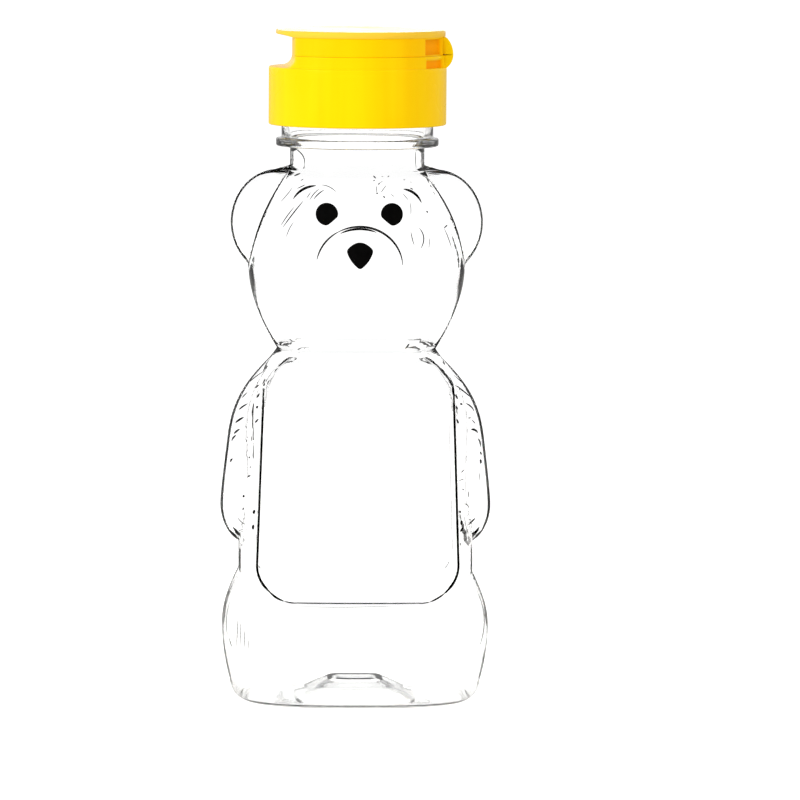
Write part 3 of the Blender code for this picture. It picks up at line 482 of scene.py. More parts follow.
def section(z):
    """Half-width, half-depth and squareness of the bottle at heights z."""
    z = np.asarray(z, dtype=float)
    side = np.clip(z, FOOT_CORNER_RISE, Z_BASE)
    fall = np.clip(1.0 - z / FOOT_CORNER_RISE, 0.0, 1.0)
    tuck = FOOT_TUCK * ((Z_BASE - side) / Z_BASE) ** 2
    tuck = tuck + FOOT_CORNER_REACH * (1.0 - np.sqrt(1.0 - fall * fall))
    hip = np.cos(0.5 * math.pi * np.clip((z - Z_BASE) / (Z_WAIST_LOW - Z_BASE), 0.0, 1.0))
    climb = np.clip((z - Z_WAIST_HIGH) / (Z_CHEST - Z_WAIST_HIGH), 0.0, 1.0)
    chest = 0.5 - 0.5 * np.cos(math.pi * climb)
    shoulder = np.clip((z - Z_CHEST) / (Z_CREASE - Z_CHEST), 0.0, 1.0)
    shoulder = (1.0 - shoulder ** SHOULDER_BULGE) ** SHOULDER_FALL
    chin = np.clip((Z_CHEEK - z) / (Z_CHEEK - Z_CREASE), 0.0, 1.0) ** HEAD_BULGE
    brow = np.clip((z - Z_CHEEK) / (Z_NECK - Z_CHEEK), 0.0, 1.0) ** HEAD_BULGE
    places = (z < Z_BASE, z < Z_WAIST_HIGH, z < Z_CHEST, z < Z_CREASE, z < Z_CHEEK, z < Z_NECK)
    found = []
    for k, foot in enumerate((tuck, tuck, 0.0)):
        sizes = (BASE_OUTLINE[k] - foot,
                 mix(WAIST_OUTLINE[k], BASE_OUTLINE[k], hip),
                 mix(WAIST_OUTLINE[k], CHEST_OUTLINE[k], chest),
                 mix(CREASE_OUTLINE[k], CHEST_OUTLINE[k], shoulder),
                 mix(CHEEK_OUTLINE[k], CREASE_OUTLINE[k], chin),
                 mix(CHEEK_OUTLINE[k], NECK_OUTLINE[k], brow))
        found.append(np.select(places, sizes, NECK_OUTLINE[k]))
    return found


def superellipse(angles, half_width, half_depth, power):
    """Distance from the axis to an outline, along each angle."""
    side = np.abs(np.cos(angles)) / half_width
    front = np.abs(np.sin(angles)) / half_depth
    return (side ** power + front ** power) ** (-1.0 / power)


def far_root(a, b, c):
    """The larger root of a r^2 + b r + c, or 0 where there is none."""
    inside = b * b - 4.0 * a * c
    return np.where(inside > 0.0, (-b + np.sqrt(np.maximum(inside, 0.0))) / (2.0 * a), 0.0)


def ear_reach(z, angles, inset):
    """Distance from the axis to the ears, 0 where a ray misses them."""
    lift = (z - Z_EAR) / (EAR_HALF[2] - inset)
    shrink = np.sqrt(np.maximum(1.0 - lift * lift, NEARLY_ZERO_SQUARE))
    wide = (EAR_HALF[0] - inset) * shrink
    deep = (EAR_HALF[1] - inset) * shrink
    side = np.abs(np.cos(angles))
    front = np.maximum(np.abs(np.sin(angles)), NEARLY_ZERO)
    root = deep / front
    tip = far_root((side / wide) ** 2 + (front / deep) ** 2,
                   -2.0 * side * EAR_OUT / wide ** 2,
                   (EAR_OUT / wide) ** 2 - 1.0)
    reach = np.where(root * side < EAR_OUT, root, tip)
    return np.where(np.abs(lift) < 1.0, reach, 0.0)


def snout_reach(z, angles, inset):
    """Distance from the axis to the snout, 0 where a ray misses it."""
    lift = (z - Z_SNOUT) / (SNOUT_HALF[2] - inset)
    shrink = np.sqrt(np.maximum(1.0 - lift * lift, NEARLY_ZERO_SQUARE))
    wide = (SNOUT_HALF[0] - inset) * shrink
    deep = (SNOUT_HALF[1] - inset) * shrink
    side = np.cos(angles)
    front = np.sin(angles)
    reach = far_root((side / wide) ** 2 + (front / deep) ** 2,
                     2.0 * front * SNOUT_FORWARD / deep ** 2,
                     (SNOUT_FORWARD / deep) ** 2 - 1.0)
    return np.where(np.abs(lift) < 1.0, np.maximum(reach, 0.0), 0.0)


def arm_swell(y, z):
    """How far the arms stand out from the torso's sides."""
    drop = np.clip((Z_PAW - z) / (Z_PAW - Z_WAIST_HIGH), 0.0, 1.0)
    climb = np.clip((z - Z_PAW) / (Z_ARM_TOP - Z_PAW), 0.0, 1.0)
    open_share = 1.0 - drop ** 2
    thickness = ARM_THICKNESS * open_share ** PAW_ROUNDING * (1.0 - climb ** 2)
    half_depth = ARM_HALF_DEPTH * np.sqrt(open_share) * (1.0 - ARM_TOP_NARROWING * climb ** 2)
    across = np.clip(1.0 - (y / np.maximum(half_depth, NEARLY_ZERO)) ** 2, 0.0, 1.0)
    return thickness * across ** ARM_EDGE_ROUNDING


def panel_half_width(z):
    """Half the width of a label panel, kept inside the bottle's own outline."""
    share = np.clip((z - Z_PANEL_LOW) / PANEL_HEIGHT, 0.0, 1.0)
    wanted = mix(PANEL_LOW_HALF_WIDTH, PANEL_TOP_HALF_WIDTH, share)
    return np.minimum(wanted, PANEL_REACH * section(z)[0])


def panel_depth(x, z):
    """How far forward a label panel lies: flat down to the seat, slightly crowned."""
    middle = section(np.maximum(z, Z_WAIST_LOW))[1] + PANEL_PROUD
    return middle - PANEL_CROWN * (x / panel_half_width(z)) ** 2


def panel_box(z):
    """Corner radius at height z, and how far z lies past the straight part of the side."""
    middle = Z_PANEL_LOW + PANEL_HEIGHT / 2
    radius = np.where(z > middle, PANEL_TOP_RADIUS, PANEL_CORNER_RADIUS)
    return radius, np.abs(z - middle) - (PANEL_HEIGHT / 2 - radius)


def panel_share(x, y, z, shift):
    """1 on a label panel and 0 off it. Shift moves the panel's outline outwards."""
    radius, along = panel_box(z)
    across = np.abs(x) - (panel_half_width(z) - radius)
    corner = np.hypot(np.maximum(across, 0.0), np.maximum(along, 0.0))
    outside = corner + np.minimum(np.maximum(across, along), 0.0) - radius - shift
    upright = np.maximum(across, 0.0) / np.maximum(corner, NEARLY_ZERO)
    upright = np.clip(PANEL_UPRIGHT_GAIN * upright, 0.0, 1.0)
    level = np.where(y > 0.0, REAR_PANEL_FOOT_RAMP, PANEL_FOOT_RAMP)
    level = np.where(z > Z_CHEST, PANEL_TOP_RAMP, level)
    side = np.where(y > 0.0, REAR_PANEL_SIDE_RAMP, PANEL_SIDE_RAMP)
    return smooth_step(0.5 - outside / mix(level, side, upright))


def bottle_surface(z, angles, inset=0.0):
    """Points of the bottle's surface. Inset is the depth below the outside."""
    z = np.asarray(z, dtype=float) + np.zeros_like(angles)
    half_width, half_depth, power = section(z)
    reach = superellipse(angles, half_width - inset, half_depth - inset, power)
    headed = smooth_max(reach, ear_reach(z, angles, inset))
    headed = smooth_max(headed, snout_reach(z, angles, inset))
    reach = np.where((z > Z_CREASE) & (z < Z_NECK), headed, reach)
    x = reach * np.cos(angles)
    y = reach * np.sin(angles)
    x = x + np.sign(np.round(x, 9)) * arm_swell(y, z)
    step = panel_depth(x, z) - inset - np.abs(y)
    share = panel_share(x, y, z, -inset * np.clip(step / PANEL_FULL_STEP, -1.0, 1.0))
    y = y + np.sign(np.round(y, 9)) * step * share
    return np.stack((x, y, z), axis=-1)


def panel_edge(z):
    """Angle from the side at which the panel's outline crosses height z, and half the
    angle of the fine columns on it."""
    inside = min(max(z, Z_PANEL_LOW), Z_PANEL_LOW + PANEL_HEIGHT)
    radius, along = (float(v) for v in panel_box(inside))
    drop = min(max(along, 0.0), radius)
    chord = math.sqrt(radius ** 2 - drop ** 2)
    edge = float(panel_half_width(inside)) - radius + chord
    half_width, half_depth, power = (float(v) for v in section(inside))
    depth = half_depth * (1.0 - (edge / half_width) ** power) ** (1.0 / power)
    spread = EDGE_RUN_HALF_WIDTH * min(radius / max(chord, NEARLY_ZERO), EDGE_RUN_MOST_SPREAD)
    return math.atan2(depth, edge), spread * depth / (edge ** 2 + depth ** 2)


def column_angles(z):
    """Angles of the bottle's columns at height z."""
    edge, spread = panel_edge(z)
    past = max(z - Z_CREASE, Z_PANEL_LOW - HEAD_RUN_DROP - z)
    away = float(ramp(past, 0.0, HEAD_RUN_FADE))
    first = mix(edge - spread, HEAD_RUN_ENDS[0], away)
    last = mix(edge + spread, HEAD_RUN_ENDS[1], away)
    knots = [0.0, first, last, 0.5 * math.pi]
    counts = [0, SIDE_COLUMNS, SIDE_COLUMNS + EDGE_COLUMNS,
              SIDE_COLUMNS + EDGE_COLUMNS + FRONT_COLUMNS]
    bent = np.interp(np.arange(counts[-1] + 1), counts, knots)
    even = np.linspace(0.0, 0.5 * math.pi, counts[-1] + 1)
    quarter = mix(bent, even, float(ramp(z, *Z_EVEN_RUN)))
    half = np.concatenate((quarter[:-1], math.pi - quarter[:0:-1]))
    return np.concatenate((half, half + math.pi))


def fill_levels(keys, spacing):
    """Heights from the lowest key to the highest, with every key among them."""
    keys = sorted(keys)
    levels = [keys[0]]
    for key in keys[1:]:
        start = levels[-1]
        steps = max(1, round((key - start) / spacing))
        levels += [mix(start, key, (i + 1) / steps) for i in range(steps)]
    return levels


def arc_levels(middle, reach, first, last, rows):
    """Heights round an arc, at even angles between two angles in degrees."""
    return list(middle + reach * np.sin(np.radians(np.linspace(first, last, rows))))


def merge_levels(groups, gap):
    """The heights of several groups in order, without any that nearly coincide."""
    levels = []
    for z in sorted(z for group in groups for z in group):
        if not levels or z - levels[-1] > gap:
            levels.append(z)
    return levels


def panel_corner_levels(first, last, rows):
    """Heights round the label panel's lower corners."""
    return arc_levels(Z_PANEL_LOW + PANEL_CORNER_RADIUS, -PANEL_CORNER_RADIUS, first, last,
                      rows)


def foot_corner_levels(first, last, rows):
    """Heights round the foot's corner."""
    return arc_levels(FOOT_CORNER_RISE, -FOOT_CORNER_RISE, 90.0 - first, 90.0 - last, rows)


def ledge_levels(spacing):
    """Heights across the step at the label panel's foot."""
    return list(np.arange(-LEDGE_REACH, LEDGE_REACH, spacing) + Z_PANEL_LOW)


def outside_levels():
    """Heights of the bottle's rings from the foot to the neck."""
    keys = (FOOT_CORNER_RISE, Z_BASE, Z_WAIST_LOW, Z_WAIST_HIGH, Z_PAW, Z_CHEST, Z_CREASE,
            Z_CHEEK, Z_NECK - OUTER_NECK_SEAM)
    ear = arc_levels(Z_EAR, EAR_HALF[2], *OUTER_EAR_ROWS)
    paw = [mix(Z_WAIST_HIGH, Z_PAW, share) for share in PAW_ROWS]
    crease = list(np.arange(*CREASE_ROWS) + Z_CREASE)
    return merge_levels((fill_levels(keys, OUTER_ROW_SPACING), ear, paw, crease,
                         foot_corner_levels(*OUTER_FOOT_ROWS),
                         panel_corner_levels(*OUTER_PANEL_ROWS),
                         ledge_levels(OUTER_LEDGE_SPACING)), OUTER_ROW_GAP)


def inside_levels():
    """Heights of the rings of the bottle's inside, from the neck down to the floor."""
    keys = (FLOOR_THICKNESS + INNER_FLOOR_SEAM, FOOT_CORNER_RISE, Z_BASE, Z_WAIST_LOW,
            Z_WAIST_HIGH, Z_PAW, Z_CHEST, Z_CREASE, Z_CHEEK, Z_NECK - INNER_NECK_SEAM)
    ear = arc_levels(Z_EAR, EAR_HALF[2] - BODY_WALL, *INNER_EAR_ROWS)
    return merge_levels((fill_levels(keys, INNER_ROW_SPACING), ear,
                         foot_corner_levels(*INNER_FOOT_ROWS),
                         panel_corner_levels(*INNER_PANEL_ROWS),
                         ledge_levels(INNER_LEDGE_SPACING)), INNER_ROW_GAP)[::-1]


def ring_points(reach, angles, z):
    """A ring of points, each at its reach from the axis along its angle."""
    return np.stack((reach * np.cos(angles), reach * np.sin(angles),
                     np.zeros_like(angles) + z), axis=-1)


def square_ring(half_width, z, angles):
    """A ring of the push-up, a square with rounded corners."""
    return ring_points(superellipse(angles, half_width, half_width, PUSHUP_SQUARENESS),
                       angles, z)


def corner_arc(radius_from, radius_to, z_from, z_to, steps, bulge):
    """Radius and height pairs round a small quarter-round corner."""
    pairs = []
    for i in range(steps + 1):
        a = 0.5 * math.pi * i / steps
        if bulge:
            pairs.append((mix(radius_from, radius_to, math.sin(a)),
                          mix(z_from, z_to, 1.0 - math.cos(a))))
        else:
            pairs.append((mix(radius_from, radius_to, 1.0 - math.cos(a)),
                          mix(z_from, z_to, math.sin(a))))
    return pairs


def finish_profile():
    """Radius and height of the neck finish, up its outside, over the rim and down its bore."""
    soft = BEAD_ROUNDING
    neck = NECK_OUTLINE[0]
    pairs = [(neck, mix(Z_NECK, Z_BEAD_LOW, share)) for share in (0.15, 0.4, 0.65)]
    pairs += corner_arc(neck, neck + soft, Z_BEAD_LOW - soft, Z_BEAD_LOW, 4, False)
    pairs += corner_arc(BEAD_RADIUS - soft, BEAD_RADIUS, Z_BEAD_LOW, Z_BEAD_LOW + soft, 5, True)
    pairs += corner_arc(BEAD_RADIUS, BEAD_RADIUS - soft, Z_BEAD_TOP - soft, Z_BEAD_TOP, 5, False)
    pairs += corner_arc(FINISH_RADIUS + soft, FINISH_RADIUS, Z_BEAD_TOP, Z_BEAD_TOP + soft, 4, True)
    pairs += [(FINISH_RADIUS, mix(Z_BEAD_TOP, Z_RIM, share)) for share in (0.3, 0.6)]
    pairs += corner_arc(FINISH_RADIUS, FINISH_RADIUS - RIM_CHAMFER, Z_RIM - RIM_CHAMFER, Z_RIM,
                        4, False)
    pairs += corner_arc(BORE_RADIUS + RIM_CHAMFER, BORE_RADIUS, Z_RIM, Z_RIM - RIM_CHAMFER,
                        4, True)
    pairs += [(BORE_RADIUS, mix(Z_RIM, Z_BEAD_TOP, share)) for share in (0.35, 0.7)]
    inner = neck - NECK_WALL
    for share in np.linspace(0.0, 1.0, 8):
        pairs.append((mix(BORE_RADIUS, inner, float(smooth_step(share))),
                      Z_BEAD_TOP - BORE_STEP_HEIGHT * share))
    low = Z_BEAD_TOP - BORE_STEP_HEIGHT
    pairs += [(inner, mix(low, Z_NECK, share)) for share in (0.25, 0.5, 0.75, 1.0)]
    return pairs


def wall_depth(z, angles):
    """How thick the wall is: more at the neck, and in a patch on either cheek."""
    neck = ramp(z, Z_NECK - NECK_WALL_RUN, Z_NECK)
    patch = hump(z, Z_CHEEK - CHEEK_SWELL_DROP, CHEEK_SWELL_HALF_HEIGHT)
    patch = patch * np.abs(np.cos(angles)) ** CHEEK_SWELL_POWER
    return mix(BODY_WALL, NECK_WALL, neck) + CHEEK_SWELL * patch


def underside_rings(angles):
    """Rings under the base, from the push-up's crown out to the foot's edge."""
    steps = np.linspace(0.0, 1.0, 7)
    z_crown = Z_PUSHUP_TOP - PUSHUP_CROWN_DROP
    rings = [square_ring(PUSHUP_TOP * share, Z_PUSHUP_TOP, angles) for share in (0.3, 0.7, 0.96)]
    rings += [square_ring(mix(PUSHUP_TOP, PUSHUP_BREAK, share),
                          mix(z_crown, Z_PUSHUP_BREAK, share), angles) for share in steps]
    rings += [square_ring(mix(PUSHUP_BREAK, PUSHUP_FOOT, share),
                          mix(Z_PUSHUP_BREAK, 0.0, share), angles) for share in steps[1:]]
    stand = rings[-1]
    foot = bottle_surface(0.0, angles)
    return rings + [mix(stand, foot, share) for share in (0.3, 0.65, 1.0)]


def floor_rings(angles, wall):
    """Rings inside over the floor, from the wall's lowest ring in to the push-up's crown."""
    steps = np.linspace(0.0, 1.0, 7)
    rise = FLOOR_THICKNESS
    foot = PUSHUP_FOOT + BODY_WALL
    edge = square_ring(foot, rise, angles)
    rings = [mix(wall, edge, share) - (0.0, 0.0, FLOOR_DIP * share * (1.0 - share))
             for share in (0.02, 0.05)]
    corner = mix(rings[-1], edge, 0.04)
    corner[:, 2] = rise
    rings += [mix(corner, edge, share) for share in (0.0, 0.03, 0.1, 0.4)]
    rings += [square_ring(mix(foot, PUSHUP_BREAK + PUSHUP_WALL, share),
                          rise + mix(0.0, Z_PUSHUP_BREAK, share), angles) for share in steps]
    rings += [square_ring(PUSHUP_WALL + mix(PUSHUP_BREAK, PUSHUP_TOP, share),
                          rise + mix(Z_PUSHUP_BREAK, Z_PUSHUP_TOP, share), angles)
              for share in steps[1:]]
    return rings + [square_ring(PUSHUP_TOP * 0.4, Z_PUSHUP_TOP + rise, angles)]


def bottle_rings():
    """Every ring of the bottle: under the base, up outside, over the rim, down inside and
    over the floor."""
    base = column_angles(0.0)
    even = column_angles(Z_RIM)
    rings = underside_rings(base)
    rings += [bottle_surface(z, column_angles(z)) for z in outside_levels()]
    rings += [ring_points(radius, even, z) for radius, z in finish_profile()]
    for z in inside_levels():
        angles = column_angles(z)
        rings.append(bottle_surface(z, angles, wall_depth(z, angles)))
    return rings + floor_rings(base, rings[-1])


def face_outwards(mesh):
    """Turn the faces of a closed mesh outwards."""
    bm = bmesh.new()
    bm.from_mesh(mesh)
    bmesh.ops.recalc_face_normals(bm, faces=bm.faces)
    bm.to_mesh(mesh)
    bm.free()


def skin(name, rings, ends="poles"):
    """A mesh of quads over rings of equal length, closed by poles or by its first ring."""
    count = len(rings[0])
    points = [tuple(p) for ring in rings for p in ring]
    total = len(points)
    faces = []
    rows = len(rings) if ends == "loop" else len(rings) - 1
    for row in range(rows):
        start = row * count
        above = (row + 1) * count % total
        for i in range(count):
            j = (i + 1) % count
            faces.append((start + i, start + j, above + j, above + i))
    if ends == "poles":
        for ring, first in ((rings[0], 0), (rings[-1], (len(rings) - 1) * count)):
            pole = len(points)
            points.append(tuple(np.mean(ring, axis=0)))
            for i in range(count):
                j = (i + 1) % count
                faces.append((pole, first + j, first + i) if first == 0
                             else (pole, first + i, first + j))
    mesh = bpy.data.meshes.new(name)
    mesh.from_pydata(points, [], faces)
    obj = bpy.data.objects.new(name, mesh)
    bpy.context.scene.collection.objects.link(obj)
    face_outwards(mesh)
    mesh.shade_smooth()
    return obj


def cap_columns():
    """Angles of the cap's columns from the hinge side, closest at the pockets' ends."""
    even = np.linspace(0.0, 2.0 * math.pi, CAP_COLUMNS, endpoint=False)
    run = np.linspace(-0.2, 1.2, 7) * POCKET_RAMP
    ends = np.concatenate((POCKET_ANGLES[0] + run, POCKET_ANGLES[1] - run))
    found = np.sort(np.concatenate((even, ends, 2.0 * math.pi - ends)))
    gaps = np.diff(found, append=found[0] + 2.0 * math.pi)
    return found[gaps > CAP_COLUMN_GAP]


CAP_ANGLES = cap_columns()


def pocket_share(angles):
    """1 where a pocket lies beside the hinge, 0 elsewhere."""
    off = np.abs((angles + math.pi) % (2.0 * math.pi) - math.pi)
    start, end = POCKET_ANGLES
    return ramp(off, start, start + POCKET_RAMP) * ramp(off, end, end - POCKET_RAMP)


def cap_ring(radius, z, flat_out=None, pocket=0.0):
    """A ring of the cap: a circle, cut flat towards -X, with pockets beside the hinge."""
    reach = np.full_like(CAP_ANGLES, radius)
    if flat_out:
        side = np.maximum(-np.cos(CAP_ANGLES), NEARLY_ZERO)
        reach = smooth_min(reach, flat_out / side, THUMB_CORNER)
    return ring_points(reach - pocket * pocket_share(CAP_ANGLES), CAP_ANGLES, z)


def corner_rings(start, end, steps, bulge):
    """Cap rings round a small corner, between two sets of radius, height and how far out
    the flat side lies, or 0 where the ring is round."""
    pairs = corner_arc(start[0], end[0], start[1], end[1], steps, bulge)
    flats = [None] * len(pairs)
    if start[2]:
        flats = [flat for flat, _ in corner_arc(start[2], end[2], 0.0, 1.0, steps, bulge)]
    return [cap_ring(radius, z, flat) for (radius, z), flat in zip(pairs, flats)]


def cap_base_rings():
    """Rings of the cap base: up its outside, over the ring, round the nozzle, back inside."""
    soft = SKIRT_ROUNDING
    outer = SKIRT_RADIUS
    flat = THUMB_WALL_OUT
    rings = corner_rings((outer - soft, Z_SKIRT_LOW, 0.0), (outer, Z_SKIRT_LOW + soft, 0.0),
                         5, True)
    rings += [cap_ring(outer, mix(Z_SKIRT_LOW, Z_DECK_TOP, share)) for share in (0.3, 0.6, 0.9)]
    rings += corner_rings((outer, Z_DECK_TOP - soft, 0.0),
                          (RING_RADIUS + CAP_CREASE, Z_DECK_TOP, 0.0), 6, False)
    for turn in np.radians(np.linspace(0.0, 90.0, 10)):
        out = flat + THUMB_FILLET * (1.0 - math.sin(turn))
        z = Z_DECK_TOP + mix(CAP_CREASE, THUMB_FILLET, 1.0 - math.cos(turn))
        below = Z_RING_TOP - POCKET_BRIM[1] - z
        fade = float(ramp(below, 0.0, POCKET_EDGE))
        rings.append(cap_ring(RING_RADIUS, z, out, POCKET_DEPTH * fade))
    edge = RING_ROUNDING
    well = RING_RADIUS - RING_WALL
    well_flat = flat - RING_WALL
    rings += corner_rings((RING_RADIUS, Z_RING_TOP - edge, flat),
                          (RING_RADIUS - edge, Z_RING_TOP, flat - edge), 3, False)
    rings += corner_rings((well + edge, Z_RING_TOP, well_flat + edge),
                          (well, Z_RING_TOP - edge, well_flat), 3, True)
    rings += corner_rings((well, Z_DECK_TOP + soft, well_flat),
                          (well - soft, Z_DECK_TOP, well_flat - soft), 4, False)
    rings += corner_rings((NOZZLE_RADIUS + soft, Z_DECK_TOP, 0.0),
                          (NOZZLE_RADIUS, Z_DECK_TOP + soft, 0.0), 4, True)
    tip = NOZZLE_RADIUS - NOZZLE_TAPER
    rings += corner_rings((tip, Z_NOZZLE_TOP - soft, 0.0), (tip - soft, Z_NOZZLE_TOP, 0.0),
                          5, False)
    rings += corner_rings((ORIFICE_RADIUS + edge, Z_NOZZLE_TOP, 0.0),
                          (ORIFICE_RADIUS, Z_NOZZLE_TOP - edge, 0.0), 3, True)
    corners = ((ORIFICE_RADIUS, Z_DECK_LOW), (FINISH_RADIUS - FLANGE_WALL, Z_DECK_LOW),
               (FINISH_RADIUS - FLANGE_WALL, Z_FLANGE_LOW), (FINISH_RADIUS, Z_FLANGE_LOW),
               (FINISH_RADIUS, Z_DECK_LOW), (outer - SKIRT_WALL, Z_DECK_LOW))
    for radius, z in corners:
        rings += [cap_ring(radius + shift, z) for shift in (CAP_CREASE, -CAP_CREASE)]
    rings += corner_rings((outer - SKIRT_WALL, Z_SKIRT_LOW + edge, 0.0),
                          (outer - SKIRT_WALL + edge, Z_SKIRT_LOW, 0.0), 3, False)
    return rings


def lid_rings():
    """Rings of the lid: out over its plate, round the lip, down the wall and to the plug."""
    soft = PLATE_ROUNDING
    edge = RING_ROUNDING
    rings = [cap_ring(PLATE_RADIUS * share, Z_PLATE_TOP) for share in (0.2, 0.4, 0.6, 0.75)]
    rings.append(cap_ring(PLATE_RADIUS * 0.9, Z_PLATE_TOP, LIP_OUT * 0.9))
    rings += corner_rings((PLATE_RADIUS - soft, Z_PLATE_TOP, LIP_OUT - soft),
                          (PLATE_RADIUS, Z_PLATE_TOP - soft, LIP_OUT), 6, True)
    rim = cap_ring(PLATE_RADIUS, 0.0, LIP_OUT)
    wall = cap_ring(LID_RADIUS, 0.0, THUMB_WALL_OUT)
    overhang = np.hypot(rim[:, 0], rim[:, 1]) - np.hypot(wall[:, 0], wall[:, 1])
    lip = ramp(overhang, LIP_START, LIP_START + LIP_FADE)
    rim[:, 2] = Z_PLATE_TOP - mix(RIM_HEIGHT, LIP_THICKNESS, lip)
    wall[:, 2] = Z_PLATE_TOP - mix(RIM_HEIGHT + LID_SEAM, Z_PLATE_TOP - Z_PLATE_LOW, lip)
    turn_in = cap_ring(PLATE_RADIUS - edge, 0.0, LIP_OUT - edge)
    turn_in[:, 2] = rim[:, 2] - edge
    rings += [rim, turn_in]
    rings += [mix(turn_in, wall, share) for share in (0.4, 0.75, 0.93)]
    rings.append(wall - (0.0, 0.0, LID_UNDERCUT))
    z_wall = Z_PLATE_LOW - LID_SEAM
    brim = Z_LID_LOW + POCKET_BRIM[0]
    half_edge = POCKET_EDGE / 2
    for z, share in ((z_wall, 0.0), (z_wall - half_edge, 0.5), (z_wall - POCKET_EDGE, 1.0),
                     (mix(brim, z_wall, 0.5), 1.0), (brim + POCKET_EDGE, 1.0),
                     (brim + half_edge, 0.5), (brim, 0.0)):
        rings.append(cap_ring(LID_RADIUS, z, THUMB_WALL_OUT, POCKET_DEPTH * share))
    rings += corner_rings((LID_RADIUS - edge, Z_LID_LOW, THUMB_WALL_OUT - edge),
                          (LID_RADIUS, Z_LID_LOW + edge, THUMB_WALL_OUT), 3, True)[::-1]
    inner = LID_RADIUS - LID_WALL
    inner_flat = THUMB_WALL_OUT - LID_WALL
    rings += corner_rings((inner, Z_LID_LOW + edge, inner_flat),
                          (inner + edge, Z_LID_LOW, inner_flat + edge), 3, False)[::-1]
    rings += corner_rings((inner, Z_PLATE_LOW - soft, inner_flat),
                          (inner - soft, Z_PLATE_LOW, inner_flat - soft), 4, False)
    rings += corner_rings((PLUG_RADIUS + soft, Z_PLATE_LOW, 0.0),
                          (PLUG_RADIUS, Z_PLATE_LOW - soft, 0.0), 4, True)
    rings += corner_rings((PLUG_RADIUS, Z_PLUG_LOW + soft, 0.0),
                          (PLUG_RADIUS - soft, Z_PLUG_LOW, 0.0), 5, False)
    return rings


def strap_rings():
    """Rings of the living hinge from its lower foot to its upper one."""
    bow = FOLD_OUT - RING_RADIUS
    near = [STRAP_NOTCH[1] * share for share in (0.0, 0.2, 0.35, 0.5, 0.65, 0.8, 1.0, 1.6)]
    shares = np.linspace(0.1, 1.0, 12)
    low = near[1:] + [mix(near[-1], STRAP_LOWER_HEIGHT, share) for share in shares]
    high = near + [mix(near[-1], STRAP_UPPER_HEIGHT, share) for share in shares]
    offsets = [-off for off in reversed(low)] + high
    rings = []
    for off in offsets:
        height = STRAP_UPPER_HEIGHT if off > 0.0 else STRAP_LOWER_HEIGHT
        outer = RING_RADIUS + bow * (1.0 - min(1.0, abs(off) / height) ** 2) ** STRAP_ROUNDNESS
        notch = float(ramp(abs(off), *STRAP_NOTCH))
        inner = mix(FOLD_OUT - STRAP_FOLD_THICKNESS, STRAP_ROOT_OUT, notch)
        corner = min(STRAP_CORNER, 0.5 * (outer - inner))
        turns = np.radians(np.linspace(-90.0, 0.0, 6))
        half = [(inner, -STRAP_HALF_LENGTH), (mix(inner, outer - corner, 0.5), -STRAP_HALF_LENGTH)]
        half += [(outer - corner + corner * math.cos(a),
                  -STRAP_HALF_LENGTH + corner + corner * math.sin(a)) for a in turns]
        half.append((outer, -STRAP_HALF_LENGTH * 0.4))
        loop = half + [(x, -y) for x, y in reversed(half)]
        rings.append(np.array([(x, y, Z_FOLD + off) for x, y in loop]))
    return rings


def surface_points(x, z, lift):
    """Points of the bottle seen from the front at side x and height z, lifted square off
    the surface."""
    step = SLOPE_STEP
    shifts = np.array(((0.0, 0.0), (step, 0.0), (-step, 0.0), (0.0, step), (0.0, -step)))
    x = np.asarray(x, dtype=float) + shifts[:, :1]
    z = np.asarray(z, dtype=float) + shifts[:, 1:]
    low = np.full_like(x, 0.5 * math.pi)
    high = np.where(x < 0.0, math.pi, 0.0)
    for _ in range(SURFACE_HALVINGS):
        middle = 0.5 * (low + high)
        short = np.abs(bottle_surface(z, -middle)[..., 0]) < np.abs(x)
        low = np.where(short, middle, low)
        high = np.where(short, high, middle)
    found = bottle_surface(z, -low)
    normal = np.cross(found[3] - found[4], found[1] - found[2])
    normal /= np.linalg.norm(normal, axis=-1, keepdims=True)
    normal *= np.sign(np.sum(normal * found[0] * (1.0, 1.0, 0.0), axis=-1, keepdims=True))
    return found[0] + normal * np.reshape(lift, (-1, 1))


def feed(links, socket, value):
    """Give a socket a number, a colour or another node's socket."""
    if isinstance(value, bpy.types.NodeSocket):
        links.new(value, socket)
    elif isinstance(value, tuple):
        socket.default_value = (*value, 1.0)
    else:
        socket.default_value = value


def math_node(nodes, links, operation, first, second):
    """A Math node. Each input is a number or a socket."""
    node = nodes.new("ShaderNodeMath")
    node.operation = operation
    feed(links, node.inputs[0], first)
    feed(links, node.inputs[1], second)
    return node.outputs[0]


def ink_patch(name, node, middle, outline, ink):
    """A thin printed patch on the face, its rim sunk into the wall."""
    layers = ((0.45, INK_LIFT), (0.8, INK_LIFT), (0.95, INK_LIFT * 0.9), (1.0, INK_LIFT * 0.5),
              (1.0, -INK_SINK), (0.5, -INK_SINK))
    spots = np.concatenate([outline * share for share, _ in layers])
    lifts = np.repeat([lift for _, lift in layers], len(outline))
    points = surface_points(middle[0] + spots[:, 0], middle[1] + spots[:, 1], lifts)
    patch = skin(name, np.split(points, len(layers)))
    dress(patch, "bottle", "black_ink", ink, node)


def eye_outline(flat_way):
    """A disc with a soft flat on its lower side, towards the nose."""
    turns = np.linspace(0.0, 2.0 * math.pi, 72, endpoint=False)
    facing = np.maximum(np.cos(turns - flat_way), NEARLY_ZERO)
    reach = smooth_min(EYE_RADIUS, EYE_FLAT / facing, EYE_ROUNDING)
    return np.stack((reach * np.cos(turns), reach * np.sin(turns)), axis=-1)


def arch(start, end, height, steps):
    """Points of a shallow arch from start to end, bowed to the left of that way."""
    share = np.linspace(0.0, 1.0, steps, endpoint=False)[:, None]
    start = np.array(start)
    across = np.array(end) - start
    left = np.array((-across[1], across[0])) / np.linalg.norm(across)
    return start + across * share + left * height * 4.0 * share * (1.0 - share)


